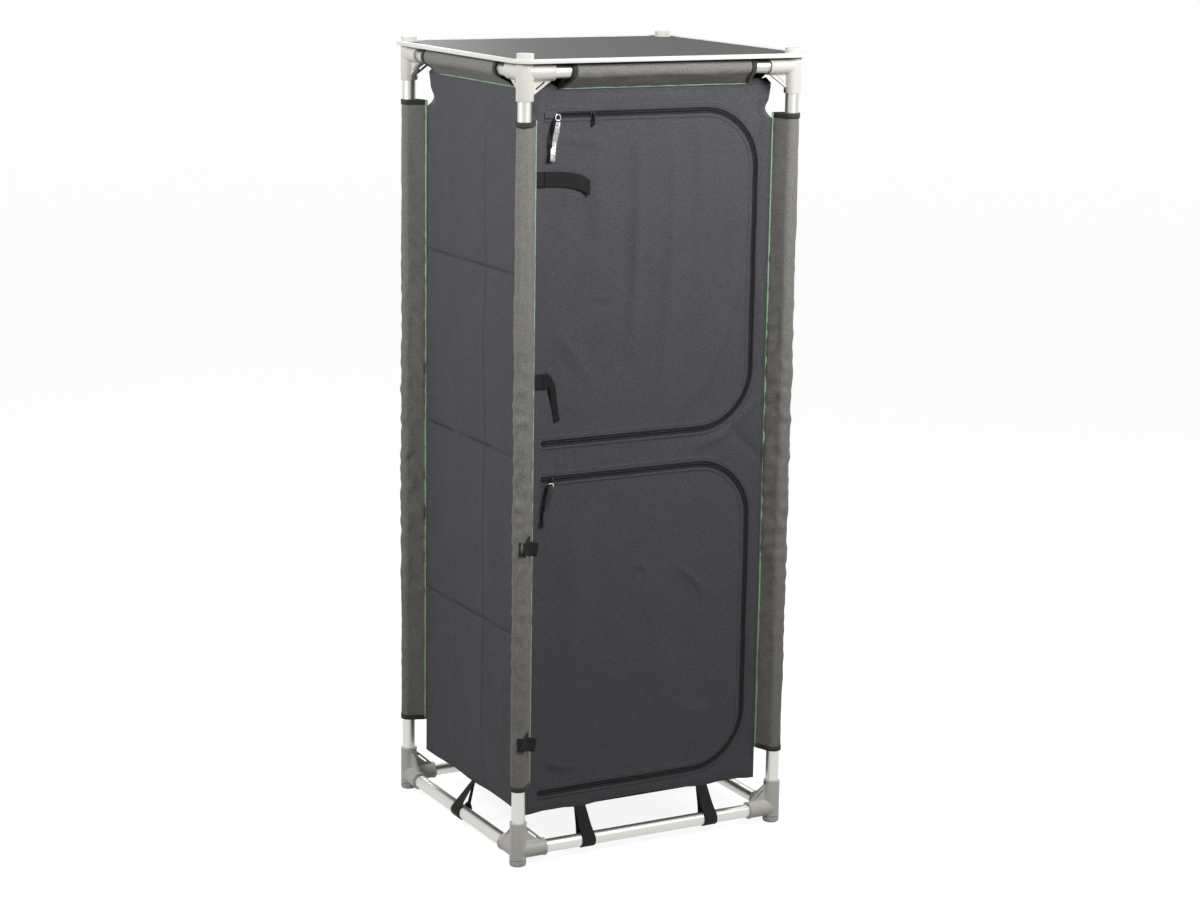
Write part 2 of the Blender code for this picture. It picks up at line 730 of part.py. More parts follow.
def door_rows(door):
    bottom, top = DOOR_SPANS[door]
    radius = ZIP_CORNER_RADIUS - ZIP_HALF_WIDTH
    centre_x = ZIP_RIGHT - ZIP_CORNER_RADIUS
    lower_centre = bottom + ZIP_CORNER_RADIUS
    upper_centre = top - ZIP_CORNER_RADIUS
    rows = []
    for share in arc_shares():
        angle = math.tau * (share - 1) / 4
        height = lower_centre + radius * math.sin(angle)
        rows.append((height, HINGE_X, centre_x + radius * math.cos(angle)))
    for k in range(1, DOOR_STRAIGHT_ROWS):
        height = lower_centre + (upper_centre - lower_centre) * k / DOOR_STRAIGHT_ROWS
        rows.append((height, HINGE_X, centre_x + radius))
    for share in arc_shares():
        angle = math.tau * share / 4
        height = upper_centre + radius * math.sin(angle)
        rows.append((height, HINGE_X, centre_x + radius * math.cos(angle)))
    return rows


def zip_strip(shape, door, inner_offset, outer_offset):
    """The closed chain of a zip: a strip that follows the D between two offsets."""
    inner = door_outline(door, inner_offset, ZIP_START_X)
    outer = door_outline(door, outer_offset, ZIP_START_X)
    start = Y_AXIS * (FRONT_Y - ZIP_PROUD)
    add_prism(shape, outer + inner[::-1], start, X_AXIS, Z_AXIS, Y_AXIS * ZIP_THICKNESS)


def build_doors(hinges):
    """Each door leaf, and the half of its zip that is sewn to the leaf."""
    for door, hinge in hinges.items():
        def stand_out(along, height, door=door):
            return BOX_Y + door_fold(door, along, height)

        leaf = bmesh.new()
        add_sheet(leaf, door_rows(door), DOOR_COLUMNS, -Y_AXIS, X_AXIS, stand_out)
        finish_piece(f"{door}_door", leaf, DARK_CLOTH, hinge.location, hinge)
        zip_half = bmesh.new()
        zip_strip(zip_half, door, FIT_GAP - ZIP_HALF_WIDTH, ZIP_HALF_WIDTH - FIT_GAP)
        finish_piece(f"{door}_zip", zip_half, ZIP_COIL, hinge.location, hinge)


def build_shelves():
    """The floor and three shelves: boards sewn into cloth, held at the sides and back."""
    half_x = INNER_X - FIT_GAP
    front = -INNER_Y + SHELF_FRONT_SETBACK
    back = INNER_Y - FIT_GAP
    half = SHELF_THICKNESS / 2
    for level, name in enumerate(("floor_board", "lower_shelf", "middle_shelf", "upper_shelf")):
        height = BOX_BOTTOM + COMPARTMENT_HEIGHT * level
        if level == 0:
            height += half
        shelf = box_shape((-half_x, front, height - half), (half_x, back, height + half))
        finish_piece(name, shelf, INNER_CLOTH)


# Sleeves


def seam_tail(axis, edge):
    """The centre of the small round in which a sleeve ends, at the edge it is sewn to."""
    return edge + (axis - edge).normalized() * (FIT_GAP + SLEEVE_TAIL_RADIUS)


def build_sleeve(name, axis, edge, along, length):
    across, up = section_frame(along)
    offset = seam_tail(axis, edge) - axis
    tail = (offset.dot(across), offset.dot(up))
    sleeve = bmesh.new()
    add_wrap(sleeve, tail, SLEEVE_RADIUS, SLEEVE_WALL, SLEEVE_TAIL_RADIUS, axis, along, length)
    finish_piece(name, sleeve, SLEEVE_CLOTH)


def build_sleeves():
    for corner, (sign_x, sign_y) in CORNER_SIGNS.items():
        axis = Vector((sign_x * LEG_X, sign_y * LEG_Y, LEG_SLEEVE_BOTTOM))
        edge = Vector((sign_x * BOX_X, sign_y * BOX_Y, LEG_SLEEVE_BOTTOM))
        build_sleeve(f"leg_sleeve_{corner}", axis, edge, Z_AXIS, LEG_SLEEVE_TOP - LEG_SLEEVE_BOTTOM)
    for side, along, spacing, axis, edge in (
        ("front", X_AXIS, LEG_X, (0, -LEG_Y), (0, -BOX_Y)),
        ("back", X_AXIS, LEG_X, (0, LEG_Y), (0, BOX_Y)),
        ("left", Y_AXIS, LEG_Y, (-LEG_X, 0), (-BOX_X, 0)),
        ("right", Y_AXIS, LEG_Y, (LEG_X, 0), (BOX_X, 0)),
    ):
        half = spacing - SIDE_SOCKET_LENGTH - RAIL_BARE_LENGTH
        rail = Vector((*axis, UPPER_RAIL_Z)) - along * half
        top_edge = Vector((*edge, BOX_TOP)) - along * half
        build_sleeve(f"rail_sleeve_{side}", rail, top_edge, along, 2 * half)


# Webbing


def build_hold_down_straps():
    """Webbing loops that hold the cloth box down to the bottom rails."""
    tail_height = BOX_BOTTOM - FIT_GAP - SLEEVE_TAIL_RADIUS
    seam_x = BOX_X - CLOTH_THICKNESS / 2
    seam_y = BOX_Y - CLOTH_THICKNESS / 2
    for name, along, axis, seam, place in (
        ("front_left", X_AXIS, (0, -LEG_Y), (0, -seam_y), -STRAP_FRONT_PLACE),
        ("front_right", X_AXIS, (0, -LEG_Y), (0, -seam_y), STRAP_FRONT_PLACE),
        ("back_left", X_AXIS, (0, LEG_Y), (0, seam_y), -STRAP_FRONT_PLACE),
        ("back_right", X_AXIS, (0, LEG_Y), (0, seam_y), STRAP_FRONT_PLACE),
        ("left", Y_AXIS, (-LEG_X, 0), (-seam_x, 0), 0),
        ("right", Y_AXIS, (LEG_X, 0), (seam_x, 0), 0),
    ):
        across, up = section_frame(along)
        rail = Vector((*axis, LOWER_RAIL_Z))
        offset = Vector((*seam, tail_height)) - rail
        tail = (offset.dot(across), offset.dot(up))
        start = rail + along * (place - STRAP_WIDTH / 2)
        strap = bmesh.new()
        add_wrap(strap, tail, SLEEVE_RADIUS, STRAP_WALL, SLEEVE_TAIL_RADIUS, start, along, STRAP_WIDTH)
        finish_piece(f"hold_down_strap_{name}", strap, BLACK_WEBBING)


def tape_heights(door):
    """The heights at which a door's two tie tapes are sewn on, the higher one first."""
    middle = sum(DOOR_SPANS[door]) / 2
    return middle + TAPE_SPREAD / 2, middle - TAPE_SPREAD / 2


def build_tape(name, stations, hinge):
    """A flat tape on a door; each station is its middle and half its width as a vector."""
    tape = bmesh.new()
    step = Y_AXIS * -TAPE_THICKNESS
    rings = []
    for middle, half_width in stations:
        corners = (middle - half_width, middle + half_width)
        places = (*corners, corners[1] + step, corners[0] + step)
        rings.append([tape.verts.new(place) for place in places])
    for first, second in zip(rings, rings[1:]):
        bridge_rings(tape, first, second)
    tape.faces.new(list(reversed(rings[0])))
    tape.faces.new(rings[-1])
    finish_piece(name, tape, BLACK_WEBBING, hinge.location, hinge)


def build_door_tapes(hinge):
    """The two tie tapes of the upper door: one laid across it, one folded and hanging."""
    upper_root, lower_root = tape_heights("upper")
    root_x = HINGE_X + TAPE_ROOT_SETBACK
    upright = Z_AXIS * (TAPE_WIDTH / 2)
    stations = []
    for k in range(UPPER_TAPE_STEPS + 1):
        share = k / UPPER_TAPE_STEPS
        x = root_x + UPPER_TAPE_LENGTH * share
        height = upper_root - UPPER_TAPE_DROP * share**2
        stand = BOX_Y + door_fold("upper", x, height) + FIT_GAP + TAPE_STANDOFF * share
        stations.append((Vector((x, -stand, height)), upright))
    build_tape("tie_tape_upper", stations, hinge)

    stand = BOX_Y + DOOR_FOLD_DEPTH
    lean = Vector((FOLDED_TAPE_REACH, 0, -FOLDED_TAPE_DROP)).normalized()
    half = lean.cross(Y_AXIS) * (FOLDED_TAPE_WIDTH / 2)
    if half.dot(upright) < 0:
        half = -half
    root = Vector((root_x, -BOX_Y - FIT_GAP, lower_root))
    turn = Vector((root_x + FOLDED_TAPE_TURN, -stand, lower_root))
    end = Vector((root_x + FOLDED_TAPE_REACH, -stand, lower_root - FOLDED_TAPE_DROP))
    middle = turn.lerp(end, FOLDED_TAPE_BEND_SHARE)
    halfway = upright.lerp(half, FOLDED_TAPE_TURN_SHARE)
    stations = [(root, upright), (turn, halfway), (middle, half), (end, half)]
    build_tape("tie_tape_lower", stations, hinge)


# Zip sliders and pulls


def slider_mesh(name, middle):
    """A slider body with a bridge; the bridge's hole runs along the zip."""
    half = SLIDER_LENGTH / 2
    back = FRONT_Y - ZIP_PROUD - FIT_GAP
    face = back - SLIDER_THICKNESS
    body = box_shape(
        (middle.x - half, face, middle.z - SLIDER_WIDTH / 2),
        (middle.x + half, back, middle.z + SLIDER_WIDTH / 2),
    )
    bridge = box_shape(
        (middle.x - BRIDGE_LENGTH / 2, face - BRIDGE_RISE, middle.z - BRIDGE_HEIGHT / 2),
        (middle.x + BRIDGE_LENGTH / 2, face + SLIDER_THICKNESS / 2, middle.z + BRIDGE_HEIGHT / 2),
    )
    eye = pull_pivot(middle) - X_AXIS * SLIDER_LENGTH
    hole = cylinder(BRIDGE_HOLE_RADIUS, eye, X_AXIS, 2 * SLIDER_LENGTH, SMALL_ROUND_SIDES)
    return carved_mesh(name, body, [("UNION", bridge), ("DIFFERENCE", hole)])


def pull_pivot(middle):
    """The middle of the bridge's hole, which the pull's ring turns in."""
    face = FRONT_Y - ZIP_PROUD - FIT_GAP - SLIDER_THICKNESS
    return Vector((middle.x, face - BRIDGE_RISE / 2, middle.z))


def add_ring(shape, pivot, turn, width, drop):
    """A rounded wire link through the bridge's hole, hanging from the pivot."""
    bend = RING_BEND_RADIUS
    half = width / 2
    outline = []
    for quarter, (centre_a, centre_b) in enumerate((
        (half - bend, -bend),
        (bend - half, -bend),
        (bend - half, bend - drop),
        (half - bend, bend - drop),
    )):
        for k in range(RING_BEND_STEPS + 1):
            angle = math.tau / 4 * (quarter + k / RING_BEND_STEPS)
            outline.append((centre_a + bend * math.cos(angle), centre_b + bend * math.sin(angle), angle))
    rings = []
    for a, b, angle in outline:
        outward = turn @ Vector((math.cos(angle), 0, math.sin(angle)))
        centre = pivot + turn @ Vector((a, 0, b))
        points = circle_points(RING_WIRE_RADIUS, RING_WIRE_SIDES)
        rings.append(section_ring(shape, points, centre, outward, Y_AXIS))
    for first, second in zip(rings, rings[1:] + rings[:1]):
        bridge_rings(shape, first, second)


def build_pull(name, pivot, swing, tilt):
    """A wire ring with a tape folded and sewn round its lower bar, hanging at a tilt."""
    turn = Matrix.Rotation(tilt, 3, "Y")
    drop = RING_DROP - 2 * RING_WIRE_RADIUS
    ring = bmesh.new()
    add_ring(ring, pivot, turn, RING_WIDTH, drop)
    eye = pivot + turn @ Vector((0, 0, -drop))
    along = turn @ X_AXIS
    tape = bmesh.new()
    outline = drop_outline((0, -PULL_LENGTH), PULL_EYE_RADIUS, PULL_TAIL_RADIUS)
    start = eye - along * (PULL_WIDTH / 2)
    add_prism(tape, outline, start, Y_AXIS, turn @ Z_AXIS, along * PULL_WIDTH)
    mesh = carved_mesh(name, ring, [("UNION", tape)])
    place_mesh(name, mesh, REFLECTIVE_TAPE, pivot, swing)


def build_sliders(hinges):
    """Sliders on the straight top runs of the zips; the second one has a short cord pull."""
    for name, door, setback, tilt in (
        ("upper_zip", "upper", UPPER_SLIDER_SETBACK, UPPER_PULL_TILT),
        ("lower_zip", "lower", LOWER_SLIDER_SETBACK, LOWER_PULL_TILT),
    ):
        middle = Vector((HINGE_X + setback, FRONT_Y, DOOR_SPANS[door][1]))
        hinge = hinges[door]
        place_mesh(f"{name}_slider", slider_mesh(name, middle), SILVER_METAL, middle, hinge)
        pivot = pull_pivot(middle)
        swing = pivot_empty(f"{name}_pull_pivot", pivot, hinge)
        build_pull(f"{name}_pull", pivot, swing, tilt)

    middle = Vector((HINGE_X + SECOND_SLIDER_SETBACK, FRONT_Y, DOOR_SPANS["upper"][1]))
    body = editable(slider_mesh("second_slider", middle))
    eye = pull_pivot(middle)
    half = SECOND_PULL_WIDTH / 2
    cord = box_shape(
        (middle.x - half, eye.y - SECOND_PULL_THICKNESS / 2, middle.z - SECOND_PULL_LENGTH),
        (middle.x + half, eye.y + SECOND_PULL_THICKNESS / 2, middle.z),
    )
    mesh = carved_mesh("second_slider", body, [("UNION", cord)])
    place_mesh("second_zip_slider", mesh, BLACK_METAL, middle, hinges["upper"])


def build_cupboard():
    build_corners()
    build_feet()
    build_rails()
    build_table_top()
    build_walls()
    build_front_panel()
    hinges = {
        door: pivot_empty(f"{door}_door_hinge", Vector((HINGE_X, FRONT_Y, span[0])))
        for door, span in DOOR_SPANS.items()
    }
    build_doors(hinges)
    build_shelves()
    build_sleeves()
    build_hold_down_straps()
    build_door_tapes(hinges["upper"])
    build_sliders(hinges)


build_cupboard()
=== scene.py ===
"""Looks of the fabric camp kitchen cupboard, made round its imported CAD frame.

Units are metres, +Z is up and the doors face -Y, as in the CAD model.
"""

import math

import bmesh
import bpy
import numpy as np
from mathutils import Matrix, Vector, noise
from mathutils.geometry import delaunay_2d_cdt


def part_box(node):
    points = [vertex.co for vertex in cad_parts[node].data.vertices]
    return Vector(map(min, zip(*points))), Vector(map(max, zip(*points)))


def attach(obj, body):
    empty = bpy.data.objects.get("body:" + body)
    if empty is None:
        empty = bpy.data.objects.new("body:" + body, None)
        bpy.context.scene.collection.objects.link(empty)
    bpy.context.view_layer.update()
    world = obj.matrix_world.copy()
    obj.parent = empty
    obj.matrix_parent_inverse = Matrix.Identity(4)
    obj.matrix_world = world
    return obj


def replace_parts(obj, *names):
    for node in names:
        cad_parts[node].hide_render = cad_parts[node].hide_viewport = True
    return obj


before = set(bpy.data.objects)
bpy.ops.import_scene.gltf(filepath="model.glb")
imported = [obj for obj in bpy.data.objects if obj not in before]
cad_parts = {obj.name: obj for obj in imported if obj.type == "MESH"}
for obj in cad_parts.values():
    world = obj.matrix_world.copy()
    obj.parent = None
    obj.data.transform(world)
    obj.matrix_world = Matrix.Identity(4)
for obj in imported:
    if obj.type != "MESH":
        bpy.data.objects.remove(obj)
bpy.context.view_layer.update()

bl_info = {
    "name": "Fabric Camp Kitchen Cupboard",
    "version": (1, 0, 0),
    "blender": (4, 5, 0),
    "location": "View3D > Sidebar > Cupboard",
    "description": "Dresses the tube frame, cloth box and table top of a folding camp cupboard",
    "category": "Object",
}

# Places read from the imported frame
CORNERS = {
    "front_left": (-1, -1),
    "front_right": (1, -1),
    "back_left": (-1, 1),
    "back_right": (1, 1),
}
NEAR = 0.0001
UP = Vector((0, 0, 1))
ALONG_X = Vector((1, 0, 0))
ALONG_Y = Vector((0, 1, 0))
SIDES = {"front": -ALONG_Y, "back": ALONG_Y, "left": -ALONG_X, "right": ALONG_X}


def node_box(name):
    low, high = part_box(name)
    return Vector(low), Vector(high)


def node_middle(name):
    low, high = node_box(name)
    return (low + high) / 2


def side_axis(side):
    """The axis that a side of the cupboard runs along."""
    return ALONG_X if side in ("front", "back") else ALONG_Y


leg_low, leg_high = node_box("leg_tube_front_right")
LEG = (leg_low + leg_high) / 2
LEG_X, LEG_Y = LEG.x, -LEG.y
TUBE_RADIUS = (leg_high.x - leg_low.x) / 2
TUBE_WALL = 0.0012
SOCKET_RADIUS = TUBE_RADIUS + 0.003
ARM_LENGTH = 0.052
LOWER_RAIL_Z = node_middle("bottom_rail_front").z
UPPER_RAIL_Z = node_middle("top_rail_front").z
LOWER_MOUTH_Z = node_box("lower_connector_front_left")[1].z
UPPER_MOUTH_Z = node_box("upper_connector_front_left")[0].z
CAP_TOP_Z = node_box("upper_connector_front_left")[1].z
FOOT_TOP_Z = node_box("lower_connector_front_left")[0].z - 0.001
BOARD_LOW, BOARD_HIGH = node_box("table_board")
RIM_LOW, RIM_HIGH = node_box("table_rim")
PANEL_LOW, PANEL_HIGH = node_box("front_panel")
BOX_X = PANEL_HIGH.x
BOX_Y = -PANEL_LOW.y
BOX_BOTTOM, BOX_TOP = PANEL_LOW.z, PANEL_HIGH.z
SHELVES = (1, 2, 3)
COMPARTMENT = (BOX_TOP - BOX_BOTTOM) / 4
HINGE_X = node_box("upper_door")[0].x
ZIP_HALF = 0.0032
ZIP_INSET = ZIP_HALF - 0.0003
ZIP_RADIUS = 0.105
ZIP_START_X = HINGE_X + 0.0006
ZIP_SPANS = {}
for door in ("lower", "upper"):
    low, high = node_box(f"{door}_zip")
    ZIP_SPANS[door] = (low.z + ZIP_INSET, high.z - ZIP_INSET)
ZIP_RIGHT = high.x - ZIP_INSET
SLEEVE_LOW, SLEEVE_HIGH = node_box("leg_sleeve_front_left")
SPLIT_X = ZIP_RIGHT - ZIP_RADIUS


# Settings that a user would change


def amount(name, description, default, **more):
    return bpy.props.FloatProperty(name=name, description=description, default=default, **more)


def length(name, description, default):
    return amount(name, description, default, unit="LENGTH", precision=5)


def colour(name, description, default):
    return bpy.props.FloatVectorProperty(
        name=name, description=description, default=default, subtype="COLOR", size=3, min=0.0, max=1.0
    )


class CupboardClothSettings(bpy.types.PropertyGroup):
    """Sizes and colours of the cloth box, its sleeves and its trim"""

    cloth_thickness: length("Cloth thickness", "Thickness of the box's cloth", 0.0011)
    grid_step: length("Cloth grid", "Spacing of the points that carry folds", 0.0055)
    welt_rise: length("Welt rise", "How far the folded edge beside a zip stands up", 0.0012)
    stitch_pitch: length("Stitch pitch", "From one stitch to the next", 0.0042)
    piping_radius: length("Piping radius", "Half the piping's thickness", 0.0023)
    binding_width: length("Binding width", "Width of the tape round a sleeve's end", 0.0090)
    box_colour: colour("Box cloth", "Colour of the walls and doors", (0.083, 0.083, 0.094))
    inner_colour: colour("Inner cloth", "Colour of the roof and shelves", (0.045, 0.045, 0.050))
    sleeve_colour: colour("Sleeve cloth", "Colour of the leg and rail sleeves", (0.240, 0.231, 0.213))
    piping_colour: colour("Piping", "Colour of the piping in the sleeve seams", (0.340, 0.560, 0.350))
    binding_colour: colour("Binding", "Colour of the sleeve end bindings", (0.042, 0.042, 0.036))
    webbing_colour: colour("Webbing", "Colour of straps and tie tapes", (0.0085, 0.0085, 0.0090))
    thread_colour: colour("Thread", "Colour of the stitching", (0.020, 0.020, 0.022))
    zip_colour: colour("Zip", "Colour of the zip's teeth and tape", (0.0075, 0.0075, 0.0080))


class CupboardFrameSettings(bpy.types.PropertyGroup):
    """Sizes and colours of the tube frame and the table top"""

    web_thickness: length("Web thickness", "Thickness of a connector's web", 0.0026)
    flange_width: length("Flange width", "Width of the web's sloping edge", 0.0062)
    grain_size: length("Voxel size", "Fineness of the moulded connectors", 0.00048)
    screw_radius: length("Screw radius", "Half the width of a locking screw's head", 0.0030)
    tube_colour: colour("Tube", "Colour of the satin aluminium", (0.640, 0.632, 0.600))
    connector_colour: colour("Connector", "Colour of the moulded corners", (0.700, 0.685, 0.630))
    foot_colour: colour("Foot", "Colour of the screw feet", (0.620, 0.608, 0.555))
    board_colour: colour("Board", "Colour of the table board", (0.052, 0.049, 0.050))
    rim_colour: colour("Rim", "Colour of the board's edge strip", (0.800, 0.795, 0.750))
    steel_colour: colour("Screw", "Colour of the locking screws", (0.060, 0.058, 0.055))


class CupboardStageSettings(bpy.types.PropertyGroup):
    """The floor, the lamps and the view"""

    floor_colour: colour("Floor", "Colour of the floor", (0.220, 0.220, 0.220))
    lens: amount("Lens", "Focal length on a 36 mm frame", 82.09)
    key_power: amount("Front lamp", "Power of the lamp before the doors in watts", 29.5)
    fill_power: amount("Left lamp", "Power of the lamp before the left wall in watts", 26.0)


def cloth():
    return bpy.context.scene.cupboard_cloth


def metal():
    return bpy.context.scene.cupboard_frame


def stage():
    return bpy.context.scene.cupboard_stage


# Thickness of the cloths and tapes beside the box's own cloth
THICKNESS = {
    "sleeve": 0.0009, "binding": 0.0011, "strap": 0.0011, "tie_tape": 0.0010, "zip_tape": 0.0006,
    "garage": 0.0008, "pull_tape": 0.00045,
}


# Modelling tools


def clear_selection():
    if bpy.context.object is not None and bpy.context.object.mode != "OBJECT":
        bpy.ops.object.mode_set(mode="OBJECT")
    bpy.ops.object.select_all(action="DESELECT")


def only(piece):
    clear_selection()
    piece.select_set(True)
    bpy.context.view_layer.objects.active = piece
    return piece


def new_piece(name, mesh):
    piece = bpy.data.objects.new(name, mesh)
    bpy.context.scene.collection.objects.link(piece)
    return piece


def sheet_piece(name, points, faces, flat_places=None):
    """A sheet of cloth from its points, with its flat cut as its UV map in metres."""
    mesh = bpy.data.meshes.new(name)
    mesh.from_pydata([tuple(p) for p in points], [], [tuple(f) for f in faces])
    if flat_places is not None:
        layer = mesh.uv_layers.new(name="flat_cut")
        for loop in mesh.loops:
            layer.data[loop.index].uv = flat_places[loop.vertex_index]
    mesh.shade_smooth()
    mesh.update()
    return new_piece(name, mesh)


def apply_all(piece):
    only(piece)
    for modifier in list(piece.modifiers):
        bpy.ops.object.modifier_apply(modifier=modifier.name)
    return piece


def thicken(piece, thickness, quality=True, even=False):
    """Give a sheet its thickness inwards, so that the modelled face stays outside."""
    wall = piece.modifiers.new("Thickness", "SOLIDIFY")
    wall.thickness = thickness
    wall.offset = -1.0
    wall.use_quality_normals = quality
    wall.use_even_offset = even
    return apply_all(piece)


def face_outwards(piece):
    """Merge doubles, then turn every face of a closed shape outwards."""
    only(piece)
    bpy.ops.object.mode_set(mode="EDIT")
    bpy.ops.mesh.select_all(action="SELECT")
    bpy.ops.mesh.remove_doubles(threshold=0.00001)
    bpy.ops.mesh.normals_make_consistent(inside=False)
    bpy.ops.object.mode_set(mode="OBJECT")
    return piece


def face_each_outwards(piece):
    """Turn the faces of each closed shape in a piece outwards and merge nothing."""
    shape = bmesh.new()
    shape.from_mesh(piece.data)
    bmesh.ops.recalc_face_normals(shape, faces=shape.faces)
    shape.to_mesh(piece.data)
    shape.free()
    return piece


def face_front(piece):
    """Turn a sheet before the box so that its modelled face looks to the front."""
    if piece.data.polygons[0].normal.y > 0:
        piece.data.flip_normals()
    return piece


def apply_place(piece):
    only(piece)
    bpy.ops.object.transform_apply(location=True, rotation=True, scale=True)
    return piece


def smooth_by_angle(piece, degrees=35.0):
    only(piece)
    bpy.ops.object.shade_smooth_by_angle(angle=math.radians(degrees))
    return piece


def bevel_piece(piece, width, segments=2, angle=40.0):
    edge = piece.modifiers.new("Edge", "BEVEL")
    edge.width, edge.segments = width, segments
    edge.limit_method, edge.angle_limit = "ANGLE", math.radians(angle)
    edge.harden_normals = False
    return apply_all(piece)


def cut_piece(piece, cutter):
    cut = piece.modifiers.new("Cut", "BOOLEAN")
    cut.operation = "DIFFERENCE"
    cut.solver = "EXACT"
    cut.object = cutter
    apply_all(piece)
    remove_pieces(cutter)
    return piece


def remove_pieces(*pieces):
    for piece in pieces:
        bpy.data.objects.remove(piece, do_unlink=True)


def join_pieces(name, parts):
    clear_selection()
    for part in parts:
        part.select_set(True)
    bpy.context.view_layer.objects.active = parts[0]
    if len(parts) > 1:
        bpy.ops.object.join()
    joined = bpy.context.view_layer.objects.active
    joined.name = name
    joined.data.name = name
    return joined


def copy_piece(piece, name, matrix):
    """A copy with its own mesh, moved by a matrix; a mirrored copy is turned face out again."""
    copy = new_piece(name, piece.data.copy())
    copy.data.transform(matrix)
    if matrix.determinant() < 0:
        copy.data.flip_normals()
    copy.data.update()
    return copy


def turn_to(along):
    """Turns +Z to the direction along."""
    return UP.rotation_difference(along).to_matrix().to_4x4()


def add_cylinder(name, radius, start, along, length, sides=48, caps="NGON"):
    clear_selection()
    direction = along.normalized()
    bpy.ops.mesh.primitive_cylinder_add(
        vertices=sides, radius=radius, depth=length, end_fill_type=caps,
        location=start + direction * length / 2, rotation=turn_to(direction).to_euler(),
    )
    piece = bpy.context.object
    piece.name = name
    return apply_place(piece)


def add_block(name, low, high):
    clear_selection()
    size = Vector(high) - Vector(low)
    bpy.ops.mesh.primitive_cube_add(size=1.0, location=(Vector(low) + Vector(high)) / 2, scale=size)
    piece = bpy.context.object
    piece.name = name
    return apply_place(piece)


def edit_select(piece, test, kind="EDGE"):
    """Select the edges or faces of a piece that pass a test, in edit mode."""
    only(piece)
    bpy.ops.object.mode_set(mode="EDIT")
    bpy.ops.mesh.select_mode(type=kind)
    bpy.ops.mesh.select_all(action="DESELECT")
    shape = bmesh.from_edit_mesh(piece.data)
    chosen = [item for item in (shape.edges if kind == "EDGE" else shape.faces) if test(item)]
    for item in chosen:
        item.select_set(True)
    shape.select_flush_mode()
    bmesh.update_edit_mesh(piece.data)
    if not chosen:
        raise RuntimeError(f"{piece.name}: nothing was selected")


def bevel_edges(piece, test, width, segments):
    edit_select(piece, test)
    bpy.ops.mesh.bevel(offset=width, segments=segments, affect="EDGES")
    bpy.ops.object.mode_set(mode="OBJECT")


def edge_across(edge, axis):
    """How far an edge runs along one of the axes 0, 1 and 2."""
    first, second = edge.verts
    return abs(first.co[axis] - second.co[axis])


def tube_along(name, points, radius, sides, up, closed=False, squash=1.0):
    """A round or flattened cord through points, capped at its ends."""
    points = [Vector(p) for p in points]
    count = len(points)
    places, faces, flat = [], [], []
    run = 0.0
    side = None
    for k, point in enumerate(points):
        before = points[(k - 1) % count] if closed or k else point
        after = points[(k + 1) % count] if closed or k < count - 1 else point
        heading = (after - before).normalized()
        if side is None:
            side = heading.cross(up)
            if side.length < 0.001:
                side = heading.cross(ALONG_X)
        side = (side - heading * side.dot(heading)).normalized()
        lift = side.cross(heading)
        if k:
            run += (point - points[k - 1]).length
        size = radius[k] if isinstance(radius, list) else radius
        for s in range(sides):
            angle = math.tau * s / sides
            places.append(point + side * math.cos(angle) * size + lift * math.sin(angle) * size * squash)
            flat.append((run, s / sides * 0.01))
    rings = count if closed else count - 1
    for k in range(rings):
        a, b = k * sides, (k + 1) % count * sides
        for s in range(sides):
            t = (s + 1) % sides
            faces.append((a + s, a + t, b + t, b + s))
    if not closed:
        faces.append(tuple(range(sides))[::-1])
        faces.append(tuple(range((count - 1) * sides, count * sides)))
    return face_each_outwards(sheet_piece(name, places, faces, flat))


def hump(value, width):
    """1 where the value is nothing, falling away over a width."""
    return np.exp(-((value / width) ** 2))


def clamp(share):
    return min(max(share, 0.0), 1.0)


def smooth_step(low, high, value):
    share = np.clip((value - low) / (high - low), 0.0, 1.0)
    return share * share * (3.0 - 2.0 * share)


def ridge(x, z, path, width, height):
    """A soft fold along a path of (x, z) points, highest at its middle; x and z are arrays."""
    best = np.full(np.shape(x), 1.0e9)
    share = np.zeros(np.shape(x))
    total = len(path) - 1
    for k in range(total):
        ax, az = path[k]
        run_x, run_z = path[k + 1][0] - ax, path[k + 1][1] - az
        t = np.clip(((x - ax) * run_x + (z - az) * run_z) / (run_x * run_x + run_z * run_z), 0.0, 1.0)
        gap = np.hypot(x - ax - run_x * t, z - az - run_z * t)
        nearer = gap < best
        best = np.where(nearer, gap, best)
        share = np.where(nearer, (k + t) / total, share)
    fade = np.sin(math.pi * (0.06 + 0.88 * share)) ** 0.8
    return height * fade * hump(best, width)


def sum_folds(x, z, folds):
    return sum(ridge(x, z, *fold) for fold in folds)


def rumple(x, z, scale, height, seed=0.0):
    """Gentle unevenness over a flat cut, the same each run; x and z are arrays."""
    values = [noise.noise(Vector((a / scale, b / scale, seed))) for a, b in zip(np.ravel(x), np.ravel(z))]
    return height * np.reshape(values, np.shape(x))


# Finishes


def set_inputs(node, **values):
    """Set a node's inputs; an underscore in a name stands for a space."""
    for name, value in values.items():
        node.inputs[name.replace("_", " ")].default_value = value


def add_node(tree, kind, **inputs):
    """A node with its inputs set, in the next free place of its tree."""
    node = tree.nodes.new(kind)
    row, column = divmod(len(tree.nodes), 6)
    node.location = (200 * column, -300 * row)
    set_inputs(node, **inputs)
    return node


def maths(tree, operation, *values, clamp=False):
    """A sum whose terms are numbers or outputs of other nodes."""
    node = add_node(tree, "ShaderNodeMath")
    node.operation = operation
    node.use_clamp = clamp
    for index, value in enumerate(values):
        if isinstance(value, (int, float)):
            node.inputs[index].default_value = value
        else:
            tree.links.new(value, node.inputs[index])
    return node.outputs["Value"]


def pattern(tree, kind, source, output, **inputs):
    """One output of a texture node that lies over a place."""
    node = add_node(tree, kind, **inputs)
    tree.links.new(source, node.inputs["Vector"])
    return node.outputs[output]


def noise_over(tree, source, **inputs):
    return pattern(tree, "ShaderNodeTexNoise", source, "Fac", **inputs)


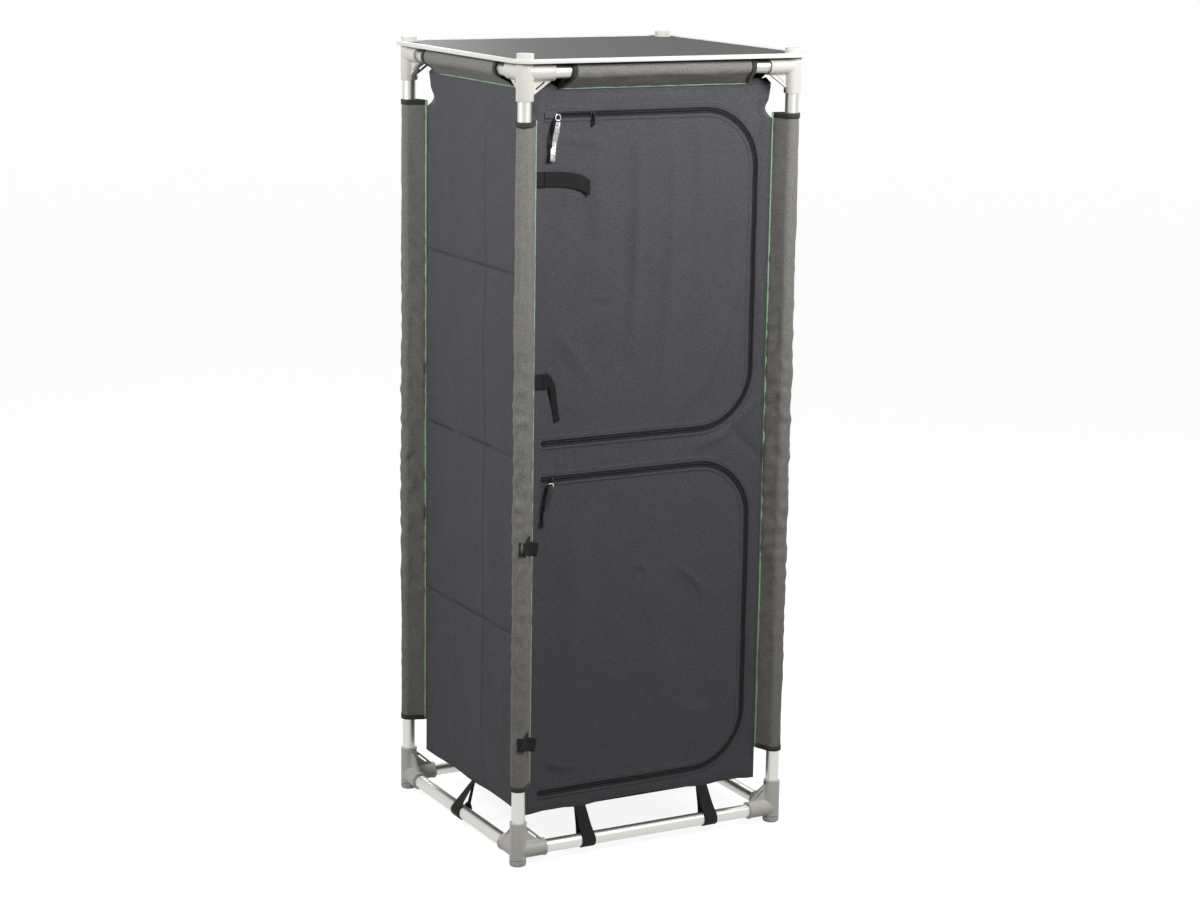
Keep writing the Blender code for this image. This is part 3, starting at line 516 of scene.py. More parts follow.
def stretched(tree, source, scale):
    return pattern(tree, "ShaderNodeMapping", source, "Vector", Scale=scale)


def start_group(name, colour, outputs, **numbers):
    """A node group over a place, with a colour and numbers to set; returns it and its two ends."""
    group = bpy.data.node_groups.new(name, "ShaderNodeTree")
    sockets = [("Place", "Vector", None), ("Colour", "Color", (*colour, 1.0))]
    sockets += [(number, "Float", default) for number, default in numbers.items()]
    for socket, kind, default in sockets:
        made = group.interface.new_socket(name=socket, in_out="INPUT", socket_type=f"NodeSocket{kind}")
        if default is not None:
            made.default_value = default
    for socket, kind in outputs.items():
        group.interface.new_socket(name=socket, in_out="OUTPUT", socket_type=f"NodeSocket{kind}")
    return group, add_node(group, "NodeGroupInput").outputs, add_node(group, "NodeGroupOutput").inputs


def brighten(tree, colour, factor):
    """A colour times a factor that changes over the surface."""
    scale = add_node(tree, "ShaderNodeVectorMath")
    scale.operation = "SCALE"
    tree.links.new(colour, scale.inputs[0])
    tree.links.new(factor, scale.inputs["Scale"])
    return scale.outputs["Vector"]


def uneven(tree, source, size):
    """A pattern about its middle, as strong as size."""
    return maths(tree, "MULTIPLY", maths(tree, "SUBTRACT", source, 0.5), size)


def weave_group():
    """Plain weave: two crossing sets of threads, uneven in tone and in height."""
    group, given, made = start_group(
        "plain weave", (0.1, 0.1, 0.1), {"Colour": "Color", "Height": "Float"},
        Thread=450.0, Slub=0.22, Mottle=0.10, Heather=0.30,
    )
    place = given["Place"]
    heights, slubs = [], []
    for direction, stretch in (("X", (900.0, 60.0, 60.0)), ("Y", (60.0, 900.0, 60.0))):
        threads = pattern(group, "ShaderNodeTexWave", place, "Fac", Distortion=0.6, Detail=0.0)
        threads.node.bands_direction = direction
        group.links.new(given["Thread"], threads.node.inputs["Scale"])
        heights.append(threads)
        slubs.append(noise_over(group, stretched(group, place, stretch), Scale=1.0, Detail=1.0))
    crossing = maths(group, "MULTIPLY", *heights)
    slub = maths(group, "SUBTRACT", maths(group, "ADD", *slubs), 1.0)
    slub = maths(group, "MULTIPLY", slub, given["Slub"])
    tone = maths(group, "ADD", maths(group, "MULTIPLY_ADD", crossing, 0.16, 0.96), slub)
    for scale, detail, size in ((16.0, 3.0, "Mottle"), (300.0, 2.0, "Heather")):
        patches = noise_over(group, place, Scale=scale, Detail=detail)
        tone = maths(group, "ADD", tone, uneven(group, patches, given[size]))
    group.links.new(brighten(group, given["Colour"], tone), made["Colour"])
    group.links.new(maths(group, "ADD", crossing, slub), made["Height"])
    return group


def grain_group():
    """Fine grain of a moulded or laminated face, with faint handling marks."""
    group, given, made = start_group(
        "moulded grain", (0.5, 0.5, 0.5), {"Colour": "Color", "Roughness": "Float", "Height": "Float"},
        Fineness=1400.0, Marks=0.12, Roughness=0.45,
    )
    grain = noise_over(group, given["Place"], Detail=1.0)
    group.links.new(given["Fineness"], grain.node.inputs["Scale"])
    smears = noise_over(group, given["Place"], Scale=34.0, Detail=4.0, Roughness=0.65)
    marks = uneven(group, smears, given["Marks"])
    tone = maths(group, "ADD", marks, 1.0)
    group.links.new(brighten(group, given["Colour"], tone), made["Colour"])
    group.links.new(maths(group, "ADD", given["Roughness"], marks, clamp=True), made["Roughness"])
    group.links.new(grain, made["Height"])
    return group


def start_material(name, colour):
    material = bpy.data.materials.new(name)
    material.use_nodes = True
    material.diffuse_color = (*colour, 1.0)
    tree = material.node_tree
    return material, tree, tree.nodes["Principled BSDF"]


def flat_place(tree):
    """Where a point lies on its piece's flat cut, in metres."""
    node = add_node(tree, "ShaderNodeUVMap")
    node.uv_map = "flat_cut"
    return node.outputs["UV"]


def use_group(tree, shader, group, place, colour, **inputs):
    """A node group over a place, with its colour on the shader; returns its outputs."""
    node = add_node(tree, "ShaderNodeGroup")
    node.node_tree = group
    set_inputs(node, Colour=(*colour, 1.0), **inputs)
    tree.links.new(place, node.inputs["Place"])
    tree.links.new(node.outputs["Colour"], shader.inputs["Base Color"])
    return node.outputs


def shade_colour(tree, shader, colour, mask, depth, least):
    """A base colour that goes lighter and darker with a mask."""
    base = add_node(tree, "ShaderNodeRGB").outputs["Color"]
    base.default_value = (*colour, 1.0)
    tone = maths(tree, "MULTIPLY_ADD", mask, depth, least)
    tree.links.new(brighten(tree, base, tone), shader.inputs["Base Color"])


def link_bump(tree, shader, height, strength, distance):
    bump = add_node(tree, "ShaderNodeBump", Strength=strength, Distance=distance)
    tree.links.new(height, bump.inputs["Height"])
    tree.links.new(bump.outputs["Normal"], shader.inputs["Normal"])


def cloth_material(name, colour, group, thread=450.0, slub=0.5, mottle=0.16, sheen=0.06, relief=0.3):
    material, tree, shader = start_material(name, colour)
    weave = use_group(
        tree, shader, group, flat_place(tree), colour, Thread=thread, Slub=slub, Mottle=mottle, Heather=0.9
    )
    set_inputs(shader, Roughness=0.82, Sheen_Weight=sheen, Sheen_Roughness=0.4, Specular_IOR_Level=0.3)
    link_bump(tree, shader, weave["Height"], relief, 0.0003)
    return material


def webbing_material(name, colour, pitch=0.0016):
    """Ribbed webbing: the ribs run across the tape, so they follow the map's first axis."""
    material, tree, shader = start_material(name, colour)
    ribs = pattern(tree, "ShaderNodeTexWave", flat_place(tree), "Fac", Scale=0.314 / pitch, Distortion=0.8)
    ribs.node.bands_direction = "DIAGONAL"
    shade_colour(tree, shader, colour, ribs, 0.7, 0.7)
    set_inputs(shader, Roughness=0.8, Sheen_Weight=0.1, Specular_IOR_Level=0.3)
    link_bump(tree, shader, ribs, 0.5, 0.0004)
    return material


def moulded_material(
    name, colour, group, fineness=1400.0, marks=0.12, roughness=0.45, relief=0.12, metallic=0.0, specular=0.5
):
    material, tree, shader = start_material(name, colour)
    place = add_node(tree, "ShaderNodeTexCoord").outputs["Object"]
    grain = use_group(tree, shader, group, place, colour, Fineness=fineness, Marks=marks, Roughness=roughness)
    tree.links.new(grain["Roughness"], shader.inputs["Roughness"])
    set_inputs(shader, Metallic=metallic, Specular_IOR_Level=specular)
    link_bump(tree, shader, grain["Height"], relief, 0.0002)
    return material


def drawn_tube_material(name, colour):
    """Satin anodised tube with fine lines along its length."""
    material, tree, shader = start_material(name, colour)
    lines = noise_over(tree, stretched(tree, flat_place(tree), (14.0, 2600.0, 1.0)), Scale=1.0, Detail=2.0)
    shade_colour(tree, shader, colour, lines, 0.16, 0.92)
    tree.links.new(maths(tree, "MULTIPLY_ADD", lines, 0.14, 0.32), shader.inputs["Roughness"])
    set_inputs(shader, Metallic=1.0)
    link_bump(tree, shader, lines, 0.08, 0.0001)
    return material


def crinkled_tape_material(name):
    """Silver reflective tape, creased in facets, with a painted highlight on each facet and painted shade in
    its creases.
    """
    material, tree, shader = start_material(name, (0.6, 0.6, 0.58))
    place = add_node(tree, "ShaderNodeTexCoord").outputs["Object"]
    creases = pattern(tree, "ShaderNodeTexVoronoi", place, "Distance", Scale=420.0)
    # Painted light: the colour runs from a painted highlight at each facet's middle to painted shade at its
    # creases
    painted_facet_light = add_node(tree, "ShaderNodeValToRGB")
    near, far = painted_facet_light.color_ramp.elements
    near.color, far.color = (0.86, 0.87, 0.85, 1.0), (0.22, 0.23, 0.23, 1.0)
    far.position = 0.85
    tree.links.new(creases, painted_facet_light.inputs["Fac"])
    tree.links.new(painted_facet_light.outputs["Color"], shader.inputs["Base Color"])
    set_inputs(shader, Metallic=0.35, Roughness=0.38)
    link_bump(tree, shader, creases, 0.6, 0.0008)
    return material


FINISHES = {}


def dress(piece, key, body, node=None):
    """Give a piece its finish as its one material, put it under its body, and hide the CAD node that it stands
    for.
    """
    piece.data.materials.clear()
    piece.data.materials.append(FINISHES[key])
    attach(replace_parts(piece, node) if node else piece, body)
    return piece


# Tube frame


def at_leg(corner):
    """Moves a piece from the middle of the floor to a leg."""
    sign_x, sign_y = CORNERS[corner]
    return Matrix.Translation((sign_x * LEG_X, sign_y * LEG_Y, 0))


def new_map(mesh):
    """The mesh's one map, made anew."""
    while mesh.uv_layers:
        mesh.uv_layers.remove(mesh.uv_layers[0])
    return mesh.uv_layers.new(name="flat_cut")


def map_round(piece, centre, along):
    """Map a tube's faces: length along the tube, then the way round it, in metres."""
    mesh = piece.data
    turn = turn_to(along).to_3x3().transposed()
    layer = new_map(mesh)
    for face in mesh.polygons:
        middle = turn @ (face.center - centre)
        heading = math.atan2(middle.y, middle.x)
        for index in face.loop_indices:
            place = turn @ (mesh.vertices[mesh.loops[index].vertex_index].co - centre)
            past = math.remainder(math.atan2(place.y, place.x) - heading, math.tau)
            layer.data[index].uv = (place.z, (heading + past) * TUBE_RADIUS)


def make_tube(name, start, along, length):
    tube = add_cylinder(name, TUBE_RADIUS, start, along, length, sides=56, caps="NOTHING")
    thicken(tube, TUBE_WALL, quality=False)
    bevel_piece(tube, 0.0003, 1, 60.0)
    smooth_by_angle(tube)
    map_round(tube, start, along)
    return tube


class CupboardTubes(bpy.types.Operator):
    """Make the four leg tubes and the eight rails"""

    bl_idname = "cupboard.tubes"
    bl_label = "Leg tubes and rails"

    def execute(self, context):
        low, high = node_box("leg_tube_front_left")
        first = make_tube("leg_tube_finish", Vector((0, 0, low.z)), UP, high.z - low.z)
        for corner in CORNERS:
            leg = copy_piece(first, f"leg_{corner}", at_leg(corner))
            dress(leg, "tube", "frame", f"leg_tube_{corner}")
        remove_pieces(first)
        for level in ("bottom", "top"):
            for side in SIDES:
                node = f"{level}_rail_{side}"
                low, high = node_box(node)
                middle = (low + high) / 2
                along = side_axis(side)
                half = (high - low).dot(along) / 2
                rail = make_tube(f"{level}_tube_{side}", middle - along * half, along, 2 * half)
                dress(rail, "tube", "frame", node)
        return {"FINISHED"}


# An arm's end lip, how far a web stands off its sockets, where a bore starts, a locking screw's place
LIP_LENGTH = 0.0036
WEB_GAP = 0.0004
BORE_START = 0.0155
BORE_RADIUS = TUBE_RADIUS + 0.0004
SCREW_INSET = 0.0042


def turn_arm(piece, along):
    """Turn what was modelled on the X arm to the arm that it belongs to."""
    if along is ALONG_Y:
        piece.data.transform(Matrix.Rotation(math.tau / 4, 4, "Z"))
    return piece


def sloping_plate(name, start, end, inset, thickness, width, along, overrun=0.0):
    """A plate that lies along a web's sloping edge; start and end are (out, up) points."""
    run, middle = (end - start).normalized(), (start + end) / 2
    half = Vector(((end - start).length + overrun, width, thickness)) / 2
    plate = add_block(name, -half, half)
    inward = Vector((-run.y, run.x)) * (-1.0 if run.y < 0 else 1.0)
    middle += inward * inset
    plate.data.transform(Matrix.Rotation(-math.atan2(run.y, run.x), 4, "Y"))
    plate.data.transform(Matrix.Translation((middle.x, 0, middle.y)))
    return turn_arm(plate, along)


def make_web(name, rail_z, mouth_z, outward, along):
    """A web with a flange on its sloping edge and a slot beside it."""
    reach, half = ARM_LENGTH - 0.005, metal().web_thickness / 2
    leg_side, mouth_end = SOCKET_RADIUS + WEB_GAP, mouth_z - outward * 0.010
    arm_side = rail_z + outward * leg_side
    low_z, high_z = sorted((rail_z, mouth_end))
    web = add_block(name, (0, -half, low_z), (reach, half, high_z))
    rise = mouth_end - arm_side
    normal = Vector((rise, 0, reach - leg_side)) * (-1.0 if rise < 0 else 1.0)
    only(web)
    bpy.ops.object.mode_set(mode="EDIT")
    bpy.ops.mesh.select_all(action="SELECT")
    bpy.ops.mesh.bisect(
        plane_co=(reach, 0, arm_side), plane_no=normal, use_fill=True, clear_outer=True, clear_inner=False
    )
    bpy.ops.object.mode_set(mode="OBJECT")
    start, end = Vector((reach, arm_side)), Vector((leg_side, mouth_end))
    slot_ends = start.lerp(end, 0.25), start.lerp(end, 0.77)
    cut_piece(turn_arm(web, along), sloping_plate("slot_cutter", *slot_ends, 0.0048, 0.0026, 0.012, along))
    return [web, sloping_plate("flange", start, end, 0.0007, 0.0018, metal().flange_width, along, 0.001)]


def mould_connector(name, rail_z, mouth_z, outward, parts):
    """Join the sockets and webs, melt them into one moulding, then bore the sockets."""
    for along in (ALONG_X, ALONG_Y):
        centre = UP * rail_z
        parts.append(add_cylinder("arm", SOCKET_RADIUS, centre, along, ARM_LENGTH - 0.002))
        lip_start = centre + along * (ARM_LENGTH - LIP_LENGTH)
        parts.append(add_cylinder("lip", SOCKET_RADIUS + 0.0008, lip_start, along, LIP_LENGTH))
        parts += make_web(f"web_{along.x:.0f}", rail_z, mouth_z, outward, along)
    body = join_pieces(name, parts)
    melt = body.modifiers.new("Melt", "REMESH")
    melt.mode = "VOXEL"
    melt.voxel_size = metal().grain_size
    soften = body.modifiers.new("Soften", "SMOOTH")
    soften.factor = 0.5
    soften.iterations = 3
    thin = body.modifiers.new("Thin out", "DECIMATE")
    thin.ratio = 0.13
    apply_all(body)
    for along in (ALONG_X, ALONG_Y):
        bore_start = UP * rail_z + along * BORE_START
        cut_piece(body, add_cylinder("bore", BORE_RADIUS, bore_start, along, ARM_LENGTH))
    return body


class CupboardConnectors(bpy.types.Operator):
    """Make the lower and upper corner connectors and their locking screws"""

    bl_idname = "cupboard.connectors"
    bl_label = "Corner connectors"

    def execute(self, context):
        base = node_box("lower_connector_front_left")[0].z
        post = add_cylinder("socket", SOCKET_RADIUS, UP * base, UP, LOWER_MOUTH_Z - base)
        knee = add_cylinder("knee", SOCKET_RADIUS * 0.98, UP * base, UP, 2 * SOCKET_RADIUS)
        lower = mould_connector("lower_mould", LOWER_RAIL_Z, LOWER_MOUTH_Z, 1, [post, knee])
        bore_start = UP * (LOWER_RAIL_Z + BORE_START)
        cut_piece(lower, add_cylinder("bore", BORE_RADIUS, bore_start, UP, 0.08))

        shoulder = BOARD_LOW.z - 0.0004
        post = add_cylinder("socket", SOCKET_RADIUS, UP * UPPER_MOUTH_Z, UP, shoulder - UPPER_MOUTH_Z)
        cap_base = shoulder - 0.005
        cap = add_cylinder("cap", SOCKET_RADIUS - WEB_GAP, UP * cap_base, UP, CAP_TOP_Z - cap_base)
        upper = mould_connector("upper_mould", UPPER_RAIL_Z, UPPER_MOUTH_Z, -1, [post, cap])
        depth = UPPER_RAIL_Z - BORE_START - UPPER_MOUTH_Z
        cut_piece(upper, add_cylinder("bore", BORE_RADIUS, UP * (UPPER_MOUTH_Z - 0.01), UP, depth + 0.01))

        screw = add_cylinder("screw_head", metal().screw_radius, ALONG_X * 0.0148, ALONG_X, 0.0013, sides=20)
        bevel_piece(screw, 0.0005, 2)
        for turn in (0, 1):
            slot = add_block("drive", (0.0155, -0.0019, -0.0003), (0.02, 0.0019, 0.0003))
            slot.data.transform(Matrix.Rotation(math.tau / 4 * turn, 4, "X"))
            cut_piece(screw, slot)
        for level, mould, height in (
            ("lower", lower, LOWER_MOUTH_Z - SCREW_INSET), ("upper", upper, UPPER_MOUTH_Z + SCREW_INSET)
        ):
            smooth_by_angle(mould, 42.0)
            for corner, (sign_x, sign_y) in CORNERS.items():
                place = at_leg(corner) @ Matrix.Diagonal((-sign_x, -sign_y, 1, 1))
                copy = copy_piece(mould, f"{level}_corner_{corner}", place)
                dress(copy, "connector", "frame", f"{level}_connector_{corner}")
                head = copy_piece(screw, f"{level}_screw_{corner}", place @ Matrix.Translation(UP * height))
                smooth_by_angle(head)
                dress(head, "steel", "frame")
        remove_pieces(lower, upper, screw)
        return {"FINISHED"}


# Grooves round a screw foot
GRIPS = 24


class CupboardFeet(bpy.types.Operator):
    """Make the four screw feet with their studs"""

    bl_idname = "cupboard.feet"
    bl_label = "Screw feet"

    def execute(self, context):
        low, high = node_box("screw_foot_front_left")
        radius = (high.x - low.x) / 2
        foot = add_cylinder("foot_finish", radius, UP * low.z, UP, FOOT_TOP_Z - low.z)
        bevel_edges(foot, lambda edge: max(v.co.z for v in edge.verts) < low.z + NEAR, 0.0032, 5)
        bevel_edges(foot, lambda edge: min(v.co.z for v in edge.verts) > FOOT_TOP_Z - NEAR, 0.0009, 2)
        for x, y in arc_points((0.0, 0.0), radius + 0.0003, 0.0, math.tau, GRIPS)[:-1]:
            cut_piece(foot, add_cylinder("grip", 0.0008, Vector((x, y, 0.0042)), UP, 0.0046, sides=8))
        base = FOOT_TOP_Z - 0.001
        stud = add_cylinder("stud", 0.004, UP * base, UP, high.z - base, sides=24)
        foot = join_pieces("foot_finish", [foot, stud])
        smooth_by_angle(foot, 30.0)
        for corner in CORNERS:
            copy = copy_piece(foot, f"foot_{corner}", at_leg(corner))
            dress(copy, "foot", f"screw_foot_{corner}", f"screw_foot_{corner}")
        remove_pieces(foot)
        return {"FINISHED"}


# Table top


def rounded_block(name, low, high, radius, segments=10):
    block = add_block(name, low, high)
    bevel_edges(block, lambda edge: edge_across(edge, 2) > NEAR, radius, segments)
    return block


def rounded_band(name, low, high, radius, thickness):
    """An upright strip round a rounded rectangle, as thick as given, inside its outline."""
    band = rounded_block(name, low, high, radius)
    edit_select(band, lambda face: abs(face.normal.z) > 0.9, "FACE")
    bpy.ops.mesh.delete(type="FACE")
    bpy.ops.object.mode_set(mode="OBJECT")
    return thicken(face_outwards(band), thickness, quality=False, even=True)


class CupboardTableTop(bpy.types.Operator):
    """Make the table board and the pale strip round its edge"""

    bl_idname = "cupboard.table_top"
    bl_label = "Table top"

    def execute(self, context):
        corner = 0.030
        board = rounded_block("board_finish", BOARD_LOW, BOARD_HIGH, corner - 0.0053)
        for corner_name in CORNERS:
            start = at_leg(corner_name) @ (UP * (BOARD_LOW.z - 0.004))
            cut_piece(board, add_cylinder("post_hole", SOCKET_RADIUS + 0.0002, start, UP, 0.02))
        bevel_piece(board, 0.0003, 1, 50.0)
        smooth_by_angle(board, 30.0)
        dress(board, "board", "table_top", "table_board")

        strip = rounded_band("strip", RIM_LOW, RIM_HIGH, corner, 0.005)
        bevel_piece(strip, 0.0011, 3, 50.0)
        inset = 0.0048
        lip_low = Vector((RIM_LOW.x + inset, RIM_LOW.y + inset, RIM_LOW.z + 0.00005))
        lip_high = Vector((RIM_HIGH.x - inset, RIM_HIGH.y - inset, BOARD_LOW.z - 0.0003))
        lip = rounded_band("lip", lip_low, lip_high, corner - inset, 0.0022)
        rim = join_pieces("rim_finish", [strip, lip])
        smooth_by_angle(rim, 40.0)
        dress(rim, "rim", "table_top", "table_rim")
        return {"FINISHED"}


# Cloth box

# Heights of the front's top edge, and how far the corners are drawn in, as (place, distance) rows
TOP_EDGE = [
    (-0.237, 0.004), (-0.222, 0.0095), (-0.209, 0.0125), (-0.199, 0.0095), (-0.190, 0.0050), (-0.179, 0.0),
    (0.176, 0.0), (0.190, 0.0062), (0.2044, 0.0102), (0.2169, 0.0056), (0.2273, 0.001), (0.237, -0.0035),
]
CORNER_DRAW = [
    (1.296, 0.0), (1.3047, 0.0069), (1.3118, 0.0092), (1.317, 0.0083), (1.3274, 0.0046), (1.3535, 0.0023),
    (1.36, 0.0023),
]


def along_table(table, value):
    return np.interp(value, *zip(*table))


def top_lift(x, z):
    """How far the loose top edge stands above the roof near the corners."""
    return along_table(TOP_EDGE, x) * smooth_step(ZIP_SPANS["upper"][1] + 0.007, BOX_TOP, z)


def hem_lift(x, z):
    """How far the front's hem rises between the two straps that hold it down."""
    middle = abs(node_middle("hold_down_strap_front_left").x)
    held = hump(np.abs(x) - middle, 0.040) + hump(np.abs(x) - BOX_X, 0.040)
    return 0.0060 * np.clip(1.0 - held, 0.0, 1.0) * smooth_step(BOX_BOTTOM + 0.022, BOX_BOTTOM, z)


def corner_draw(across, half, z):
    """How far a wall's edge is drawn in where no sleeve holds it."""
    near = smooth_step(half - np.where(across < 0.0, 0.018, 0.045), half, np.abs(across))
    return -np.sign(across) * along_table(CORNER_DRAW, z) * near


def zip_gap(x, z, door):
    """Distance outside a door's zip line, less than nothing on the door."""
    low, high = ZIP_SPANS[door]
    middle, half = (low + high) / 2, (high - low) / 2
    across = x - SPLIT_X
    upward = np.abs(z - middle) - (half - ZIP_RADIUS)
    outside = np.hypot(np.maximum(across, 0.0), np.maximum(upward, 0.0))
    return outside + np.minimum(np.maximum(across, upward), 0.0) - ZIP_RADIUS


# Folds of the doors: their path as (x, z) points, their width and their height
FOLD_STRENGTH = 1.3
FRONT_FOLDS = [
    ([(-0.030, 1.285), (-0.027, 1.16), (-0.032, 1.02), (-0.036, 0.90)], 0.0110, 0.0039),
    ([(0.040, 1.290), (0.044, 1.18), (0.040, 1.05), (0.030, 0.90), (0.026, 0.80)], 0.0119, 0.0033),
    ([(0.093, 1.280), (0.098, 1.15), (0.092, 1.03)], 0.0102, 0.0029),
    ([(-0.110, 1.270), (-0.106, 1.15), (-0.112, 1.04)], 0.0136, 0.0021),
    ([(0.178, 1.060), (0.165, 0.985), (0.141, 0.905), (0.112, 0.836), (0.080, 0.792)], 0.0136, 0.0051),
    ([(0.152, 1.130), (0.138, 1.02), (0.108, 0.93)], 0.0119, -0.0024),
    ([(-0.118, 1.004), (-0.098, 0.998), (-0.082, 1.003)], 0.0034, 0.0015),
    ([(-0.112, 0.988), (-0.095, 0.983), (-0.074, 0.986)], 0.0034, -0.0015),
    ([(-0.190, 0.950), (-0.150, 0.905), (-0.118, 0.850)], 0.0119, 0.0019),
    ([(-0.030, 0.520), (-0.006, 0.507), (0.020, 0.510)], 0.0036, 0.0018),
    ([(-0.012, 0.530), (-0.004, 0.508), (0.004, 0.484)], 0.0036, 0.0018),
    ([(-0.020, 0.492), (0.000, 0.506), (0.024, 0.524)], 0.0034, -0.0015),
    ([(0.062, 0.505), (0.085, 0.488), (0.112, 0.462), (0.122, 0.442)], 0.0055, 0.0027),
    ([(-0.150, 0.640), (-0.142, 0.48), (-0.150, 0.30)], 0.0221, 0.0024),
    ([(0.030, 0.420), (0.034, 0.32), (0.026, 0.22)], 0.0255, 0.0023),
    ([(-0.200, 0.178), (-0.175, 0.162), (-0.140, 0.158)], 0.0051, 0.0019),
    ([(-0.200, 0.160), (-0.170, 0.145), (-0.130, 0.142)], 0.0047, -0.0015),
    ([(-0.196, 1.282), (-0.150, 1.270), (-0.100, 1.262)], 0.0076, 0.0015),
    ([(0.060, 0.245), (0.110, 0.225), (0.150, 0.232)], 0.0102, 0.0016),
]
# Folds of the panel round the doors
PANEL_FOLDS = [
    ([(0.228, 1.352), (0.221, 1.325), (0.2115, 1.285), (0.2085, 1.240)], 0.0048, -0.0052),
    ([(0.233, 1.335), (0.228, 1.300), (0.222, 1.255)], 0.0042, 0.0042),
    ([(0.205, 1.362), (0.190, 1.340), (0.170, 1.332)], 0.006, -0.0032),
    ([(0.226, 1.230), (0.219, 1.160), (0.224, 1.080)], 0.0060, -0.0024),
    ([(0.216, 1.020), (0.225, 0.940), (0.219, 0.860)], 0.0060, 0.0020),
    ([(0.230, 0.800), (0.150, 0.735), (0.090, 0.716)], 0.009, 0.0036),
    ([(0.228, 0.690), (0.200, 0.715), (0.150, 0.762)], 0.008, -0.0026),
    ([(0.218, 0.600), (0.226, 0.500), (0.220, 0.400)], 0.0060, 0.0010),
    ([(-0.200, 1.352), (-0.212, 1.330), (-0.222, 1.300)], 0.005, -0.0022),
    ([(-0.160, 1.345), (-0.100, 1.338), (0.000, 1.341), (0.120, 1.337)], 0.007, 0.0010),
    ([(-0.150, 0.100), (-0.080, 0.098), (0.000, 0.103)], 0.008, 0.0010),
    ([(0.060, 0.098), (0.140, 0.100), (0.210, 0.104)], 0.008, 0.0010),
]


def front_relief(x, z):
    """How far the front's cloth stands out of its plane, folds and sewn edges included."""
    upper, lower = zip_gap(x, z, "upper"), zip_gap(x, z, "lower")
    outside = np.minimum(upper, lower)
    nearest = np.where(np.abs(upper) < np.abs(lower), upper, lower)
    off_zip = smooth_step(0.008, 0.032, np.abs(nearest))
    off_edge = smooth_step(0.0, 0.012, BOX_X - np.abs(x))
    on_door = (outside < 0.0) & (x > HINGE_X - 0.002)
    relief = rumple(x, z, 0.085, 0.0016) + rumple(x, z, 0.030, 0.0005, 3.0) * (0.4 + 0.6 * off_zip)
    folds = FOLD_STRENGTH * sum_folds(x, z, FRONT_FOLDS)
    relief += np.where(on_door, folds * off_zip * smooth_step(0.0, 0.020, x - HINGE_X), 0.0)
    waves = np.sin(math.tau * (x + 0.004 * np.sin(z * 60.0)) / 0.0185)
    close_folds = 0.0010 * waves * (0.4 + rumple(x, z, 0.05, 1.2, 8.0))
    close_folds *= hump(z - (BOX_BOTTOM + BOX_TOP) / 2, 0.024) * smooth_step(0.004, 0.012, outside)
    close_folds *= smooth_step(-0.215, -0.17, x) * (1.0 - smooth_step(0.10, 0.20, x))
    creases = sum_folds(x, z, PANEL_FOLDS) * smooth_step(0.003, 0.012, nearest)
    relief += np.where(on_door, 0.0, creases + close_folds)
    past = np.abs(nearest) - ZIP_HALF
    welt = cloth().welt_rise * (1.0 - smooth_step(0.0072, 0.0094, past))
    groove = 0.0006 * hump(past - 0.0040, 0.0009)
    relief += np.where(x > ZIP_START_X - 0.004, welt - groove, 0.0)
    return relief * (0.25 + 0.75 * off_edge)


def front_places(x, z, stand=0.0):
    """Points of the front's cloth in space, from places on its flat cut."""
    x, z = np.asarray(x, float), np.asarray(z, float)
    draw = corner_draw(x, BOX_X, z)
    depth = front_relief(x, z) + stand - np.abs(draw)
    return np.column_stack((x + draw, -BOX_Y - depth, z + top_lift(x, z) + hem_lift(x, z)))


def front_place(x, z, stand):
    return Vector(front_places([x], [z], stand)[0])


def split_run(start, end, step):
    """Points from start up to, and without, end, evenly spaced."""
    count = max(1, round(math.dist(start, end) / step))
    run_x, run_z = end[0] - start[0], end[1] - start[1]
    return [(start[0] + run_x * k / count, start[1] + run_z * k / count) for k in range(count)]


def path_points(corners, step):
    """Points along a path of corners, evenly spaced, with both its ends."""
    points = []
    for start, end in zip(corners, corners[1:]):
        points += split_run(start, end, step)
    return points + [corners[-1]]


def zip_curve(door, offset, left, step=0.0035):
    """The D beside a door's zip, from its lower left end round to its upper left end."""
    low, high = ZIP_SPANS[door]
    radius = ZIP_RADIUS + offset
    points = split_run((left, low - offset), (SPLIT_X, low - offset), step)
    arc = max(8, round(math.tau / 4 * ZIP_RADIUS / step))
    for centre_z, turn in ((low + ZIP_RADIUS, -0.25), (high - ZIP_RADIUS, 0.0)):
        for k in range(arc + 1):
            angle = math.tau * (turn + k / arc / 4)
            points.append((SPLIT_X + radius * math.cos(angle), centre_z + radius * math.sin(angle)))
        if turn < 0.0:
            points += split_run(points[-1], (points[-1][0], high - ZIP_RADIUS), step)[1:]
    points += split_run((SPLIT_X, high + offset), (left, high + offset), step)[1:]
    return points + [(left, high + offset)]


def inside_loop(points, loop):
    """Which points lie inside a closed loop, by counting crossings."""
    x, z = points[:, 0], points[:, 1]
    within = np.zeros(len(points), bool)
    for (ax, az), (bx, bz) in zip(loop, loop[1:] + loop[:1]):
        if az != bz:
            within ^= ((az > z) != (bz > z)) & (x < (bx - ax) * (z - az) / (bz - az) + ax)
    return within


# Spacing of the points on a cut's edge, and how far from a zip the even grid keeps
EDGE_STEP = 0.005
GRID_GAP = ZIP_HALF + 0.0155


def twice_areas(places, triangles):
    """Twice the area of each triangle, less than nothing where it runs clockwise."""
    corners = places[triangles]
    first, second = corners[:, 1] - corners[:, 0], corners[:, 2] - corners[:, 0]
    return first[:, 0] * second[:, 1] - first[:, 1] * second[:, 0]


